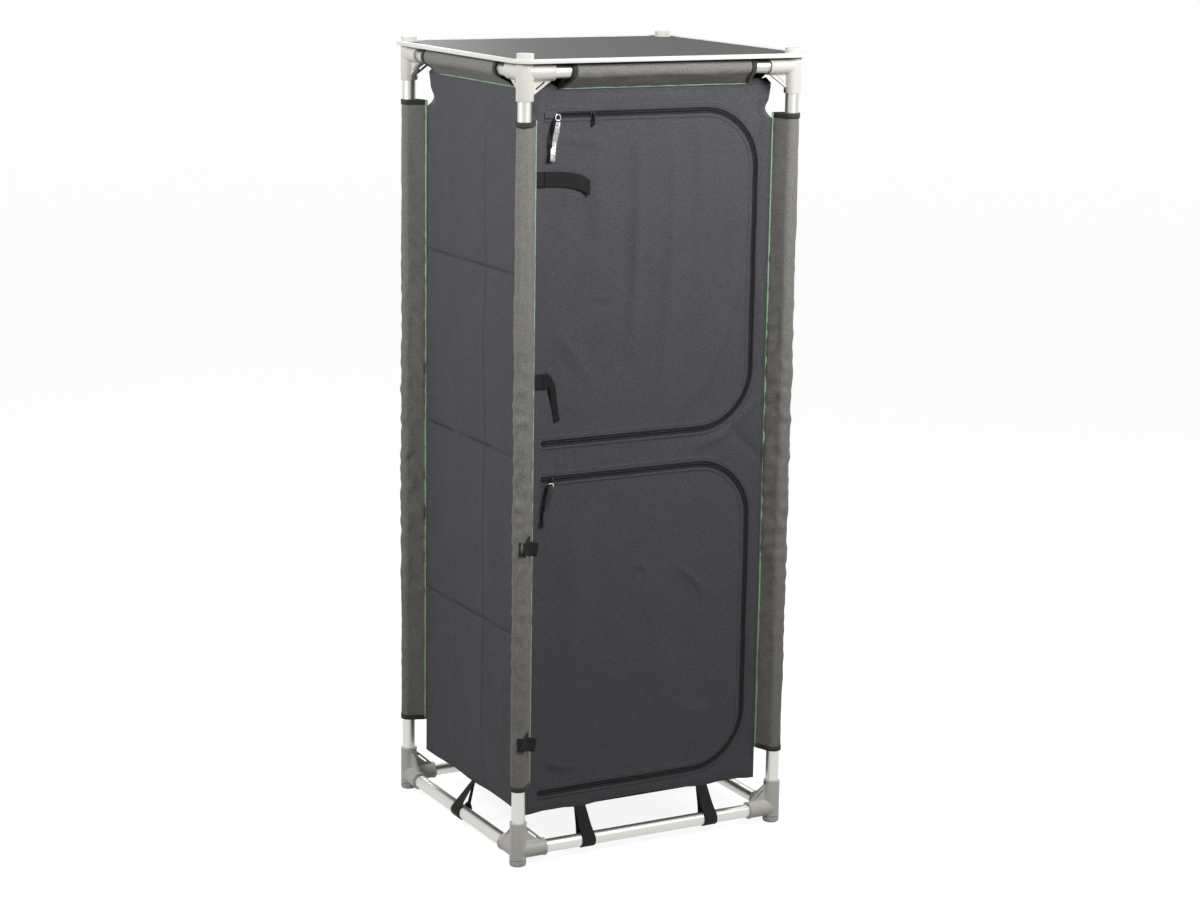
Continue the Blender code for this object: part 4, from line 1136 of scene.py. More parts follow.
def flat_cut(loop, step, rows, keep):
    """Triangles over the cut inside a loop; rows are extra points and keep tests the grid's."""
    low, high = np.min(loop, axis=0), np.max(loop, axis=0)
    rise = step * 0.87
    grid = np.array([
        (low[0] + k * step + (step / 2 if r % 2 else 0.0), low[1] + r * rise)
        for r in range(int((high[1] - low[1]) / rise) + 2)
        for k in range(int((high[0] - low[0]) / step) + 2)
    ])
    grid = grid[inside_loop(grid, loop)]
    rows = np.array(rows)
    spots = np.vstack((rows[inside_loop(rows, loop)], grid[keep(grid[:, 0], grid[:, 1])]))
    gaps = np.array([np.hypot(*(np.array(loop) - spot).T).min() for spot in spots])
    verts = [Vector(p) for p in (*loop, *spots[gaps > step * 0.33])]
    edges = [(k, (k + 1) % len(loop)) for k in range(len(loop))]
    places, _, triangles, *_ = delaunay_2d_cdt(verts, edges, [], 0, 1.0e-7)
    places = np.array([tuple(p) for p in places])
    triangles = np.array([tuple(t) for t in triangles if len(t) == 3])
    triangles = triangles[inside_loop(places[triangles].mean(axis=1), loop)]
    backwards = twice_areas(places, triangles) < 0
    triangles[backwards] = triangles[backwards][:, ::-1]
    return places, triangles


def dress_cloth(piece, body, node):
    """Give a sheet the thickness and the finish of the box's cloth."""
    smooth_by_angle(thicken(piece, cloth().cloth_thickness), 50.0)
    dress(piece, "box_cloth", body, node)


def hang_front_sheet(name, loop, rows, keep, body, node):
    places, triangles = flat_cut(loop, cloth().grid_step, rows, keep)
    points = front_places(places[:, 0], places[:, 1])
    piece = sheet_piece(name, points, triangles, [tuple(p) for p in places])
    dress_cloth(piece, body, node)
    area = float(np.abs(twice_areas(places, triangles)).sum() / 2)


def zip_rows(door, side):
    """Rows of points beside a zip that carry the sewn edge; side is 1 on the panel."""
    left = HINGE_X + 0.003
    points = []
    for past in (0.0018, 0.0033, 0.0040, 0.0049, 0.0070, 0.0082, 0.0096, 0.0125):
        points += zip_curve(door, side * (ZIP_HALF + past), left, EDGE_STEP)
    return points


class CupboardDoors(bpy.types.Operator):
    """Cut and hang the two door leaves"""

    bl_idname = "cupboard.doors"
    bl_label = "Door leaves"

    def execute(self, context):
        for door in ZIP_SPANS:
            loop = zip_curve(door, -ZIP_HALF, HINGE_X, EDGE_STEP)
            loop += split_run(loop[-1], loop[0], EDGE_STEP)[1:]

            def keep(x, z, door=door):
                return zip_gap(x, z, door) < -GRID_GAP

            rows = zip_rows(door, -1)
            body = node = f"{door}_door"
            hang_front_sheet(f"{door}_door_leaf", loop, rows, keep, body, node)
        return {"FINISHED"}


class CupboardFrontPanel(bpy.types.Operator):
    """Cut and hang the front panel in its five cloths round the doors"""

    bl_idname = "cupboard.front_panel"
    bl_label = "Front panel"

    def execute(self, context):
        lower, upper = ZIP_SPANS["lower"], ZIP_SPANS["upper"]
        heights = [BOX_BOTTOM, lower[0] - ZIP_HALF, lower[1] + ZIP_HALF]
        heights += [upper[0] - ZIP_HALF, upper[1] + ZIP_HALF, BOX_TOP]

        def keep(x, z):
            gap = np.minimum(np.abs(zip_gap(x, z, "lower")), np.abs(zip_gap(x, z, "upper")))
            return (gap > GRID_GAP) | (x < HINGE_X)

        strip = [(-BOX_X, BOX_BOTTOM)] + [(HINGE_X, z) for z in heights] + [(-BOX_X, BOX_TOP)]
        cuts = {"hinge_strip": path_points(strip + strip[:1], EDGE_STEP)[:-1]}
        for k, band in enumerate(("bottom_band", "middle_band", "top_band")):
            low, high = heights[2 * k : 2 * k + 2]
            corners = [(HINGE_X, low), (SPLIT_X, low), (SPLIT_X, high), (HINGE_X, high), (HINGE_X, low)]
            cuts[band] = path_points(corners, EDGE_STEP)[:-1]
        corners = [(SPLIT_X, BOX_BOTTOM), (BOX_X, BOX_BOTTOM), (BOX_X, BOX_TOP), (SPLIT_X, BOX_TOP)]
        loop = path_points(corners, EDGE_STEP)
        for door in ("upper", "lower"):
            loop += split_run(loop[-1], (SPLIT_X, ZIP_SPANS[door][1] + ZIP_HALF), EDGE_STEP)[1:]
            curve = zip_curve(door, ZIP_HALF, HINGE_X, EDGE_STEP)
            loop += [point for point in curve if point[0] >= SPLIT_X - NEAR][::-1]
        cuts["right_side"] = loop + split_run(loop[-1], loop[0], EDGE_STEP)[1:]
        rows = zip_rows("lower", 1) + zip_rows("upper", 1)
        for name, loop in cuts.items():
            hang_front_sheet(f"front_{name}", loop, rows, keep, "frame", "front_panel")
        return {"FINISHED"}


def map_box(piece):
    """Map each face along the two axes that it lies in, in metres."""
    mesh = piece.data
    layer = new_map(mesh)
    for face in mesh.polygons:
        normal = [abs(value) for value in face.normal]
        first, second = ((1, 2), (0, 2), (0, 1))[normal.index(max(normal))]
        for index in face.loop_indices:
            place = mesh.vertices[mesh.loops[index].vertex_index].co
            layer.data[index].uv = (place[first], place[second])


def grid_sheet(name, columns, rows, place, closed=False):
    """A sheet whose points come from place(column share, row share); returns the piece."""
    width = columns if closed else columns + 1
    made = [place(c / columns, r / rows) for r in range(rows + 1) for c in range(width)]
    faces = []
    for r in range(rows):
        for c in range(columns):
            a, b = r * width + c, r * width + (c + 1) % width
            faces.append((a, b, b + width, a + width))
    points, flat = zip(*made)
    return sheet_piece(name, points, faces, flat)


# Folds of the left wall, of which the others have some
LEFT_WALL_FOLDS = [
    ([(-0.033, 1.350), (-0.031, 1.00), (-0.034, 0.60), (-0.033, 0.095)], 0.0042, 0.0019),
    ([(-0.0415, 1.350), (-0.0400, 1.00), (-0.0425, 0.60), (-0.0410, 0.095)], 0.0040, -0.0013),
    ([(0.085, 0.560), (0.088, 0.40), (0.084, 0.10)], 0.0040, 0.0008),
    ([(-0.120, 0.420), (-0.118, 0.25), (-0.121, 0.10)], 0.0040, 0.0008),
    ([(-0.196, 1.245), (-0.172, 1.222), (-0.150, 1.214)], 0.0050, 0.0013),
    ([(-0.198, 1.222), (-0.176, 1.196), (-0.158, 1.186)], 0.0045, -0.0013),
    ([(-0.198, 1.196), (-0.180, 1.168), (-0.170, 1.150)], 0.0050, 0.0012),
    ([(0.200, 1.352), (0.180, 1.310), (0.150, 1.285)], 0.0060, 0.0026),
    ([(0.190, 1.340), (0.168, 1.300)], 0.0050, -0.0018),
    ([(0.120, 1.330), (0.100, 1.20), (0.110, 1.08)], 0.0180, 0.0014),
    ([(0.130, 0.980), (0.070, 0.90), (0.090, 0.76)], 0.0160, 0.0012),
    ([(-0.090, 0.640), (-0.060, 0.54), (-0.085, 0.44)], 0.0200, 0.0012),
]


# Each wall: its name, outward, across, half width, distance from the middle, seed and folds
WALLS = (
    ("left", -ALONG_X, ALONG_Y, BOX_Y, BOX_X, 11.0, LEFT_WALL_FOLDS),
    (
        "right", ALONG_X, ALONG_Y, BOX_Y, BOX_X, 23.0,
        [([(-y, z) for y, z in path], width, height) for path, width, height in LEFT_WALL_FOLDS[:2]],
    ),
    ("back", ALONG_Y, ALONG_X, BOX_X, BOX_Y, 37.0, LEFT_WALL_FOLDS[9:]),
)


def wall_relief(along, z, half, seed, folds):
    """How far a wall stands out: bulges between the shelf seams, creases and unevenness."""
    up = (z - BOX_BOTTOM) / COMPARTMENT
    share = (along + half) / (2 * half)
    relief = 0.0026 * np.sin(math.pi * np.clip(share, 0, 1)) * np.abs(np.sin(math.pi * up)) ** 0.8
    relief += rumple(along, z, 0.095, 0.0020, seed) + rumple(along, z, 0.032, 0.0006, seed + 5.0)
    relief += sum_folds(along, z, folds)
    for shelf in SHELVES:
        relief -= 0.0022 * hump(z - BOX_BOTTOM - COMPARTMENT * shelf, 0.0028)
    return relief * (0.2 + 0.8 * smooth_step(0.0, 0.014, half - np.abs(along)))


def wall_lift(along, half, z):
    """The loose top edge's small peaks beside each corner."""
    near = half - np.abs(along)
    peak = np.interp(near, [0.0, 0.016, 0.034, 0.056], [0.001, 0.0090, 0.0055, 0.0])
    return peak * smooth_step(BOX_TOP - 0.070, BOX_TOP, z)


def hem_wave(along, seed, z):
    """How far a wall's hem rises and falls."""
    return 0.0012 * np.sin(along * 34.0 + seed) * smooth_step(BOX_BOTTOM + 0.03, BOX_BOTTOM, z)


def hang_wall(side, outward, across, half, face, seed, folds):
    node = "back_wall" if side == "back" else f"side_wall_{side}"
    columns, rows = round(2 * half / cloth().grid_step), round((BOX_TOP - BOX_BOTTOM) / cloth().grid_step)
    share_c, share_r = np.meshgrid(np.linspace(0, 1, columns + 1), np.linspace(0, 1, rows + 1))
    along, z = (share_c - 0.5) * 2 * half, BOX_BOTTOM + (BOX_TOP - BOX_BOTTOM) * share_r
    draw = along_table(CORNER_DRAW, z) * smooth_step(half - 0.045, half, np.abs(along))
    stand = face - draw + wall_relief(along, z, half, seed, folds)
    drawn_in = along - np.sign(along) * draw
    height = z + wall_lift(along, half, z) + hem_wave(along, seed, z)

    def place(c, r):
        i, j = round(r * rows), round(c * columns)
        return outward * stand[i, j] + across * drawn_in[i, j] + UP * height[i, j], (along[i, j], z[i, j])

    wall = grid_sheet(f"{side}_cloth", columns, rows, place)
    if across.cross(UP).dot(outward) < 0:
        wall.data.flip_normals()
    dress_cloth(wall, "frame", node)


class CupboardWalls(bpy.types.Operator):
    """Hang the two side walls, the back wall and the roof"""

    bl_idname = "cupboard.walls"
    bl_label = "Walls and roof"

    def execute(self, context):
        for wall in WALLS:
            hang_wall(*wall)
        half_x, half_y = BOX_X - 0.0016, BOX_Y - 0.0016

        def place(c, r):
            x, y = (2 * c - 1) * half_x, (2 * r - 1) * half_y
            sag = 0.0045 * math.sin(math.pi * c) * math.sin(math.pi * r)
            rough = 0.0012 * noise.noise(Vector((x / 0.06, y / 0.06, 7.0))) * math.sin(math.pi * c)
            return Vector((x, y, BOX_TOP - 0.0006 - sag + rough)), (x, y)

        roof = grid_sheet("roof_cloth", 60, 52, place)
        thicken(roof, cloth().cloth_thickness)
        dress(roof, "inner_cloth", "frame", "cloth_roof")
        return {"FINISHED"}


class CupboardShelves(bpy.types.Operator):
    """Make the floor and the three shelves, boards sewn into cloth"""

    bl_idname = "cupboard.shelves"
    bl_label = "Shelves and floor"

    def execute(self, context):
        for node in ("floor_board", "lower_shelf", "middle_shelf", "upper_shelf"):
            low, high = node_box(node)
            slab = rounded_block(f"{node}_cover", low, high, 0.006, 3)
            bevel_piece(slab, 0.0018, 3, 50.0)
            smooth_by_angle(slab, 40.0)
            map_box(slab)
            dress(slab, "inner_cloth", "frame", node)
        return {"FINISHED"}


# Sleeves, piping and bindings

SLEEVE_RADIUS = 0.0136
# A sleeve's creases: their spacing, their height round the tube and on the flat, and the broad waves
CREASE_PITCH = 0.017
ROUND_CREASE = 0.0013
FLAT_CREASE = 0.0030
BROAD_WAVE = 0.0011


def side_places(side, rail_z, seam_z):
    """The middles of a side's rail and of its wall's seam."""
    outward = SIDES[side]
    rail = Vector((outward.x * LEG_X, outward.y * LEG_Y, rail_z))
    return rail, Vector((outward.x * BOX_X, outward.y * BOX_Y, seam_z))


def arc_points(centre, radius, first, turn, count):
    """Points along an arc that starts at an angle and turns by another."""
    angles = [first + turn * k / count for k in range(count + 1)]
    return [(centre[0] + radius * math.cos(angle), centre[1] + radius * math.sin(angle)) for angle in angles]


def drop_section(tail, radius, tail_radius, arc=40, tail_arc=6):
    """A round that narrows to a small round at tail, as cloth wraps a tube, evenly spaced."""
    heading = math.atan2(tail[1], tail[0])
    spread = math.acos((radius - tail_radius) / math.hypot(*tail))
    points = arc_points((0.0, 0.0), radius, heading + spread, math.tau - 2 * spread, arc)
    end = arc_points(tail, tail_radius, heading - spread, 2 * spread, tail_arc)
    points += split_run(points[-1], end[0], 0.004)[1:] + end
    return points + split_run(points[-1], points[0], 0.004)[1:]


def tube_axes(along):
    """A tube's direction, then the two across it."""
    if along is UP:
        return UP, ALONG_X, ALONG_Y
    if along is ALONG_X:
        return ALONG_X, ALONG_Y, UP
    return ALONG_Y, UP, ALONG_X


def flat_offset(offset, axes):
    """An offset as the two distances across a tube."""
    return offset.dot(axes[1]), offset.dot(axes[2])


def wrap_cloth(name, section, start, axes, length, puckers, slant=0.0, rise=0.0, step=0.0045, seed=0.0):
    """A cloth tube of a given section; puckers(share) says how rumpled it is along its length."""
    along, across, up = axes
    count = len(section)
    runs, normals = [0.0], []
    for k in range(count):
        ahead = section[(k + 1) % count]
        runs.append(runs[-1] + math.dist(section[k], ahead))
        normals.append(Vector((ahead[1] - section[k - 1][1], section[k - 1][0] - ahead[0])).normalized())
    reach = max(math.hypot(*point) for point in section)
    rows = max(2, round(length / step))

    def place(c, r):
        k = round(c * count) % count
        a, b = section[k]
        distance, heading, spot = math.hypot(a, b), math.atan2(b, a), length * r
        round_part = 1.0 - clamp((distance / reach - 0.45) / 0.5)
        slope = (spot + 0.8 * distance) / CREASE_PITCH + seed
        cos, sin = math.cos(heading), math.sin(heading)
        small = noise.noise(Vector((cos * 0.9, sin * 0.9, slope)))
        broad = noise.noise(Vector((cos * 0.7, sin * 0.7, spot / 0.075 + seed + 9.0)))
        seam = clamp((1.0 - distance / reach) / 0.16)
        creases = ROUND_CREASE * round_part * max(small + 0.25, -0.1)
        creases += FLAT_CREASE * (1.0 - round_part) * seam * max(small + 0.1, -0.12)
        swell = rise + puckers(r) * creases + BROAD_WAVE * round_part * max(broad + 0.2, -0.1)
        out = normals[k] * swell * min(distance / 0.004, 1.0)
        end = slant * (distance / reach - 0.5) * (2.0 * r - 1.0)
        return start + along * (spot + end) + across * (a + out.x) + up * (b + out.y), (runs[k], spot)

    return face_outwards(grid_sheet(name, count, rows, place, closed=True)), runs[-1]


def make_sleeve(name, node, axis, edge, along, length, puckers, slant, seed):
    """A sleeve with its two end bindings and the piping in its seam."""
    toward = (edge - axis).normalized()
    axes = tube_axes(along)
    tail = flat_offset(edge - toward * 0.0022 - axis, axes)
    section = drop_section(tail, SLEEVE_RADIUS, 0.0012)
    sleeve, girth = wrap_cloth(name, section, axis, axes, length, puckers, slant, seed=seed)
    thicken(sleeve, THICKNESS["sleeve"])
    dress(sleeve, "sleeve_cloth", "frame", node)

    width = cloth().binding_width
    section = drop_section((tail[0] * 0.90, tail[1] * 0.90), SLEEVE_RADIUS + 0.0002, 0.0016)
    for end, start, lean in (("first", -0.0006, -slant), ("second", length - width + 0.0006, slant)):
        band, _ = wrap_cloth(
            f"{name}_binding_{end}", section, axis + along * start, axes, width, lambda r: 0.3,
            rise=0.0012, step=0.003, seed=seed + 3.0,
        )
        lean_band(band, axis, along, lean, math.hypot(*tail))
        thicken(band, THICKNESS["binding"])
        dress(band, "binding", "frame")

    points = []
    steps = round(length / 0.012)
    for k in range(steps + 1):
        spot = length * k / steps
        wander = 0.0004 * noise.noise(Vector((spot / 0.03, seed, 1.0)))
        points.append(edge + along * spot - toward * (0.0020 + wander))
    cord = tube_along(f"{name}_piping", points, cloth().piping_radius, 10, toward)
    dress(cord, "piping", "frame")


def lean_band(band, axis, along, slant, reach):
    """Slide a band's seam side along the tube, as the slanted end of its sleeve does."""
    for vertex in band.data.vertices:
        offset = vertex.co - axis
        offset -= along * offset.dot(along)
        vertex.co += along * slant * (offset.length / reach - 0.5)
    band.data.update()


class CupboardSleeves(bpy.types.Operator):
    """Make the four leg sleeves and the four rail sleeves with piping and bindings"""

    bl_idname = "cupboard.sleeves"
    bl_label = "Sleeves, piping and bindings"

    def execute(self, context):
        low, high = SLEEVE_LOW.z, SLEEVE_HIGH.z

        def leg_puckers(r):
            return 0.35 + 2.0 * hump(r - 0.46, 0.31)

        for number, (corner, (sign_x, sign_y)) in enumerate(CORNERS.items()):
            axis, edge = at_leg(corner) @ (UP * low), Vector((sign_x * BOX_X, sign_y * BOX_Y, low))
            if corner == "front_left":
                edge += Vector((0.0080, -0.0030, 0.0))
            name, node = f"leg_cloth_{corner}", f"leg_sleeve_{corner}"
            make_sleeve(name, node, axis, edge, UP, high - low, leg_puckers, 0.0, 17.0 * number)
        for number, side in enumerate(SIDES):
            name, node = f"rail_cloth_{side}", f"rail_sleeve_{side}"
            box_low, box_high = node_box(node)
            along = side_axis(side)
            half = (box_high - box_low).dot(along) / 2
            axis, edge = (place - along * half for place in side_places(side, UPPER_RAIL_Z, BOX_TOP))
            make_sleeve(name, node, axis, edge, along, 2 * half, lambda r: 0.7, 0.016, 90.0 + 13.0 * number)
        return {"FINISHED"}


# Zips and stitching

# Half length, half width and half height of a zip's tooth and of a stitch
TOOTH_SIZE = (0.0016, 0.00062, 0.0006)
STITCH_SIZE = (0.00150, 0.00036, 0.00028)
TOOTH_PITCH = 0.0016
TOOTH_STAND = 0.0008
ZIP_TAPE_STEP = 0.004
# Spacing of the points that a line of stitches follows
LINE_STEP = 0.002


def zip_base(x, z):
    """How far the front stands out along a zip, without folds or sewn edges."""
    x, z = np.asarray(x, float), np.asarray(z, float)
    return rumple(x, z, 0.085, 0.0016) + 0.4 * rumple(x, z, 0.030, 0.0005, 3.0)


def walk(points, spacing, reach):
    """Places spaced evenly along a line of points, with the line's headings there."""
    points = np.asarray(points, float)
    steps = np.linalg.norm(np.diff(points, axis=0), axis=1)
    run = np.concatenate(([0.0], np.cumsum(steps)))
    spots = np.arange(spacing / 2, run[-1], spacing)
    places, after, before = (
        np.column_stack([np.interp(spots + shift, run, values) for values in points.T])
        for shift in (0.0, reach, -reach)
    )
    heading = after - before
    return places, heading / np.linalg.norm(heading, axis=1)[:, None]


def zip_line(door, offset, spacing):
    """Places and headings spaced evenly along a door's zip."""
    places, heading = walk(zip_curve(door, offset, ZIP_START_X, 0.0010), spacing, 0.0008)
    return (*places.T, *heading.T)


def small_bars(name, centres, lengthwise, crosswise, outward, size):
    """Many small six-sided bars as one mesh; size is half length, half width and half height."""
    corners = [
        (-1, -0.6, -0.6), (-1, 0.6, -0.6), (-1, 0, 0.7), (1, -0.6, -0.6), (1, 0.6, -0.6), (1, 0, 0.7),
        (0, -1, -0.7), (0, 1, -0.7), (0, 0, 1),
    ]
    shape = [
        (0, 2, 1), (3, 4, 5), (0, 1, 7, 6), (6, 7, 4, 3), (0, 6, 8, 2), (6, 3, 5, 8), (1, 2, 8, 7), (7, 8, 5, 4)
    ]
    outward = np.asarray(outward, float)
    points = np.stack(
        [
            centres + lengthwise * (a * size[0]) + crosswise * (b * size[1]) + outward * (c * size[2])
            for a, b, c in corners
        ],
        axis=1,
    ).reshape(-1, 3)
    faces = [tuple(len(corners) * k + v for v in face) for k in range(len(centres)) for face in shape]
    return face_each_outwards(sheet_piece(name, points, faces, points[:, ::2].tolist()))


def zip_teeth(name, door, side, open_span):
    """One half of a zip's teeth; they stand apart where the zip is open."""
    x, z, ahead, rise = zip_line(door, 0.0, TOOTH_PITCH)
    if side > 0:
        x, z = x + ahead * TOOTH_PITCH / 2, z + rise * TOOTH_PITCH / 2
    apart = np.full(len(x), 0.0006)
    if open_span:
        top = z > (ZIP_SPANS[door][1] - 0.004)
        apart = np.where(top & (x > open_span[0]) & (x < open_span[1]), 0.0017, apart)
    flat = np.zeros(len(x))
    across = np.column_stack((rise * side, flat, -ahead * side))
    centres = np.column_stack((x, -BOX_Y - zip_base(x, z) - TOOTH_STAND, z)) + across * apart[:, None]
    forward = np.column_stack((ahead, flat, rise))
    return small_bars(name, centres, across, forward, -ALONG_Y, TOOTH_SIZE)


def zip_tape(name, door, side):
    """The woven tape under one half of a zip's teeth, its outer edge sewn over the cloth."""
    offsets = (0.0005, ZIP_HALF - 0.0003, ZIP_HALF + 0.0006, ZIP_HALF + 0.0019)
    lines = [zip_line(door, side * offset, ZIP_TAPE_STEP) for offset in offsets]
    count = min(len(line[0]) for line in lines)
    places = []
    for row, line in enumerate(lines):
        pick = np.linspace(0, len(line[0]) - 1, count).round().astype(int)
        x, z = line[0][pick], line[1][pick]
        sunk = np.column_stack((x, -BOX_Y - zip_base(x, z) - 0.0001, z))
        places.append(front_places(x, z, 0.0005) if row > 1 else sunk)

    def place(c, r):
        k, row = round(c * (count - 1)), round(r * 3)
        return places[row][k], (k * ZIP_TAPE_STEP, row * 0.0015)

    return thicken(face_front(grid_sheet(name, count - 1, 3, place)), THICKNESS["zip_tape"])


class CupboardZips(bpy.types.Operator):
    """Make both zips, each half on what it is sewn to"""

    bl_idname = "cupboard.zips"
    bl_label = "Zips"

    def execute(self, context):
        open_span = (node_middle("upper_zip_slider").x + 0.004, node_middle("second_zip_slider").x - 0.004)
        for door in ZIP_SPANS:
            span = open_span if door == "upper" else None
            for half, side, body in (("door", -1, f"{door}_door"), ("panel", 1, "frame")):
                teeth = zip_teeth(f"{door}_zip_teeth_{half}", door, side, span)
                tape = zip_tape(f"{door}_zip_tape_{half}", door, side)
                node = f"{door}_zip" if half == "door" else None
                dress(teeth, "zip_teeth", body, node)
                dress(tape, "zip_tape", body, node)

        start, end = HINGE_X + 0.0004, node_middle("upper_zip_slider").x - 0.0036
        height = ZIP_SPANS["upper"][1]

        def place(c, r):
            x, z = start + (end - start) * c, height + (ZIP_HALF + 0.0030) * (2 * r - 1)
            return front_place(x, z, TAPE_STAND), (x, z)

        garage = thicken(grid_sheet("zip_garage", 6, 8, place), THICKNESS["garage"])
        dress(garage, "box_cloth", "upper_door")
        return {"FINISHED"}


def sew(name, lines, body, outward=-ALONG_Y):
    """Rows of stitches along lines of points in space."""
    walks = [walk(line, cloth().stitch_pitch, 0.001) for line in lines]
    centres, heading = (np.vstack(part) for part in zip(*walks))
    piece = small_bars(name, centres, heading, np.cross(heading, outward), outward, STITCH_SIZE)
    dress(piece, "thread", body)


def front_line(points):
    """A line of stitches on the front, from points on its flat cut."""
    return front_places(*np.array(points).T, 0.0001)


def front_row(start, end):
    return front_line(path_points([start, end], LINE_STEP))


def rows_beside_zip(door, offsets, left):
    return [front_line(zip_curve(door, offset, left, LINE_STEP)) for offset in offsets]


class CupboardStitching(bpy.types.Operator):
    """Sew the rows of stitches beside the zips, the hinges and the shelf seams"""

    bl_idname = "cupboard.stitching"
    bl_label = "Stitching"

    def execute(self, context):
        frame_rows = []
        for door in ZIP_SPANS:
            door_rows = rows_beside_zip(door, (-0.0072, -0.0115), HINGE_X + 0.0035)
            sew(f"{door}_door_stitches", door_rows, f"{door}_door")
            frame_rows += rows_beside_zip(door, (0.0072, 0.0112), HINGE_X + 0.001)
        edge, hem = BOX_X - 0.0045, BOX_X - 0.004
        frame_rows.append(front_row((edge, BOX_BOTTOM + 0.004), (edge, BOX_TOP - 0.004)))
        for height in (BOX_BOTTOM + 0.0045, BOX_BOTTOM + 0.0085):
            frame_rows.append(front_row((-hem, height), (hem, height)))
        frame_rows.append(front_row((-0.165, BOX_TOP - 0.006), (0.176, BOX_TOP - 0.006)))
        sew("front_stitches", frame_rows, "frame")
        seams = [BOX_BOTTOM + COMPARTMENT * shelf + gap for shelf in SHELVES for gap in (-0.0022, 0.0022)]
        for name, outward, across, half, face, seed, folds in WALLS:
            along = np.linspace(-half + 0.005, half - 0.005, 160)
            rows = []
            for height in [BOX_BOTTOM + 0.0055] + seams:
                stand = face + wall_relief(along, np.full(160, height), half, seed, folds) + 0.0001
                lift = hem_wave(along, seed, height)
                places = zip(stand, along, height + lift)
                rows.append([tuple(outward * s + across * a + UP * z) for s, a, z in places])
            sew(f"{name}_stitches", rows, "frame", outward)
        return {"FINISHED"}


# Webbing


def strap_section(tail, bow):
    """A loop round a rail that narrows and bows in a little on its way up."""
    section = drop_section(tail, SLEEVE_RADIUS, 0.0014, arc=26, tail_arc=4)
    reach = math.hypot(*tail)
    toward = (tail[0] / reach, tail[1] / reach)
    shaped = []
    for a, b in section:
        along = a * toward[0] + b * toward[1]
        off = (a - along * toward[0], b - along * toward[1])
        share = clamp((along - 0.004) / (reach - 0.004))
        pull = 1.0 - bow * math.sin(math.pi * share) ** 1.2
        shaped.append((along * toward[0] + off[0] * pull, along * toward[1] + off[1] * pull))
    return shaped


class CupboardStraps(bpy.types.Operator):
    """Make the six webbing loops that hold the box down to the bottom rails"""

    bl_idname = "cupboard.straps"
    bl_label = "Hold-down straps"

    def execute(self, context):
        names = ("front_left", "front_right", "back_left", "back_right", "left", "right")
        for number, name in enumerate(names):
            side = name.split("_")[0]
            node = f"hold_down_strap_{name}"
            low, high = node_box(node)
            along = side_axis(side)
            axes = tube_axes(along)
            rail, top = side_places(side, LOWER_RAIL_Z, BOX_BOTTOM - 0.0006)
            on_side_wall = along is ALONG_Y
            section = strap_section(flat_offset(top - rail, axes), 0.06 if on_side_wall else 0.26)
            start, width = rail + along * low.dot(along), (high - low).dot(along)
            strap, girth = wrap_cloth(
                f"strap_{name}", section, start, axes, width, lambda r: 0.0, step=0.003, seed=5.0 * number
            )
            narrow, gather, inner_gather = (0.0, 0.66, 0.62) if on_side_wall else (0.14, 0.12, 0.0)
            middle, inward = (low + high).dot(along) / 2, -SIDES[side]
            gather_z = LOWER_RAIL_Z + 0.006
            for vertex in strap.data.vertices:
                share = clamp((vertex.co.z - gather_z) / (top.z - gather_z))
                past = (vertex.co - rail.lerp(top, share)).dot(inward)
                inner = smooth_step(-0.001, 0.004, past) * smooth_step(0.0, 0.15, share)
                less = narrow + gather * share
                less += (1.0 - less) * inner_gather * inner * (1.0 - 0.4 * share)
                vertex.co -= along * (vertex.co.dot(along) - middle) * less
            thicken(strap, THICKNESS["strap"])
            dress(strap, "webbing", "frame", node)
        return {"FINISHED"}


# How wide the doors' tie tapes are, and how far they stand off the cloth that they are sewn to
TAPE_WIDTH = 0.027
TAPE_STAND = 0.0016


def tie_tape(name, stations, body, node=None, width=TAPE_WIDTH, share=None, **kept):
    """A flat tape through stations of (middle, direction across it)."""
    runs = [0.0]
    for before, after in zip(stations, stations[1:]):
        runs.append(runs[-1] + (after[0] - before[0]).length)

    def place(c, r):
        k = round(c * (len(stations) - 1))
        middle, across = stations[k]
        return middle + across * (width * (r - 0.5)), (runs[k], width * r)

    tape = thicken(face_front(grid_sheet(name, len(stations) - 1, 8, place)), THICKNESS["tie_tape"])
    dress(tape, "webbing", body, node)
    if share:
        kept["area"] = share * width * runs[-1]


def smooth_path(corners, count):
    """A smooth line through a few points, by Catmull and Rom's rule."""
    points = [Vector(p) for p in corners]
    points = [2 * points[0] - points[1]] + points + [2 * points[-1] - points[-2]]
    spans = len(points) - 3
    line = []
    for k in range(count + 1):
        t = k / count * spans
        i = min(int(t), spans - 1)
        t -= i
        a, b, c, d = points[i : i + 4]
        square, cube = 2 * a - 5 * b + 4 * c - d, 3 * b - a - 3 * c + d
        line.append(0.5 * (2 * b + (c - a) * t + square * t * t + cube * t ** 3))
    return line


def sewn_root(name, height):
    """The end of a tie tape that is sewn to the hinge strip, beside the door's edge."""
    stations = [(front_place(HINGE_X - 0.0145 + 0.0142 * k / 6, height, TAPE_STAND), UP) for k in range(7)]
    tie_tape(f"tie_tape_root_{name}", stations, "frame", held="stretched", rests_on=["front_hinge_strip"])


def tape_line(root_z, spots, count):
    """A smooth line from spots as (past the hinge, above the root, off the cloth)."""
    return smooth_path([(HINGE_X + x, stand, root_z + z) for x, z, stand in spots], count)


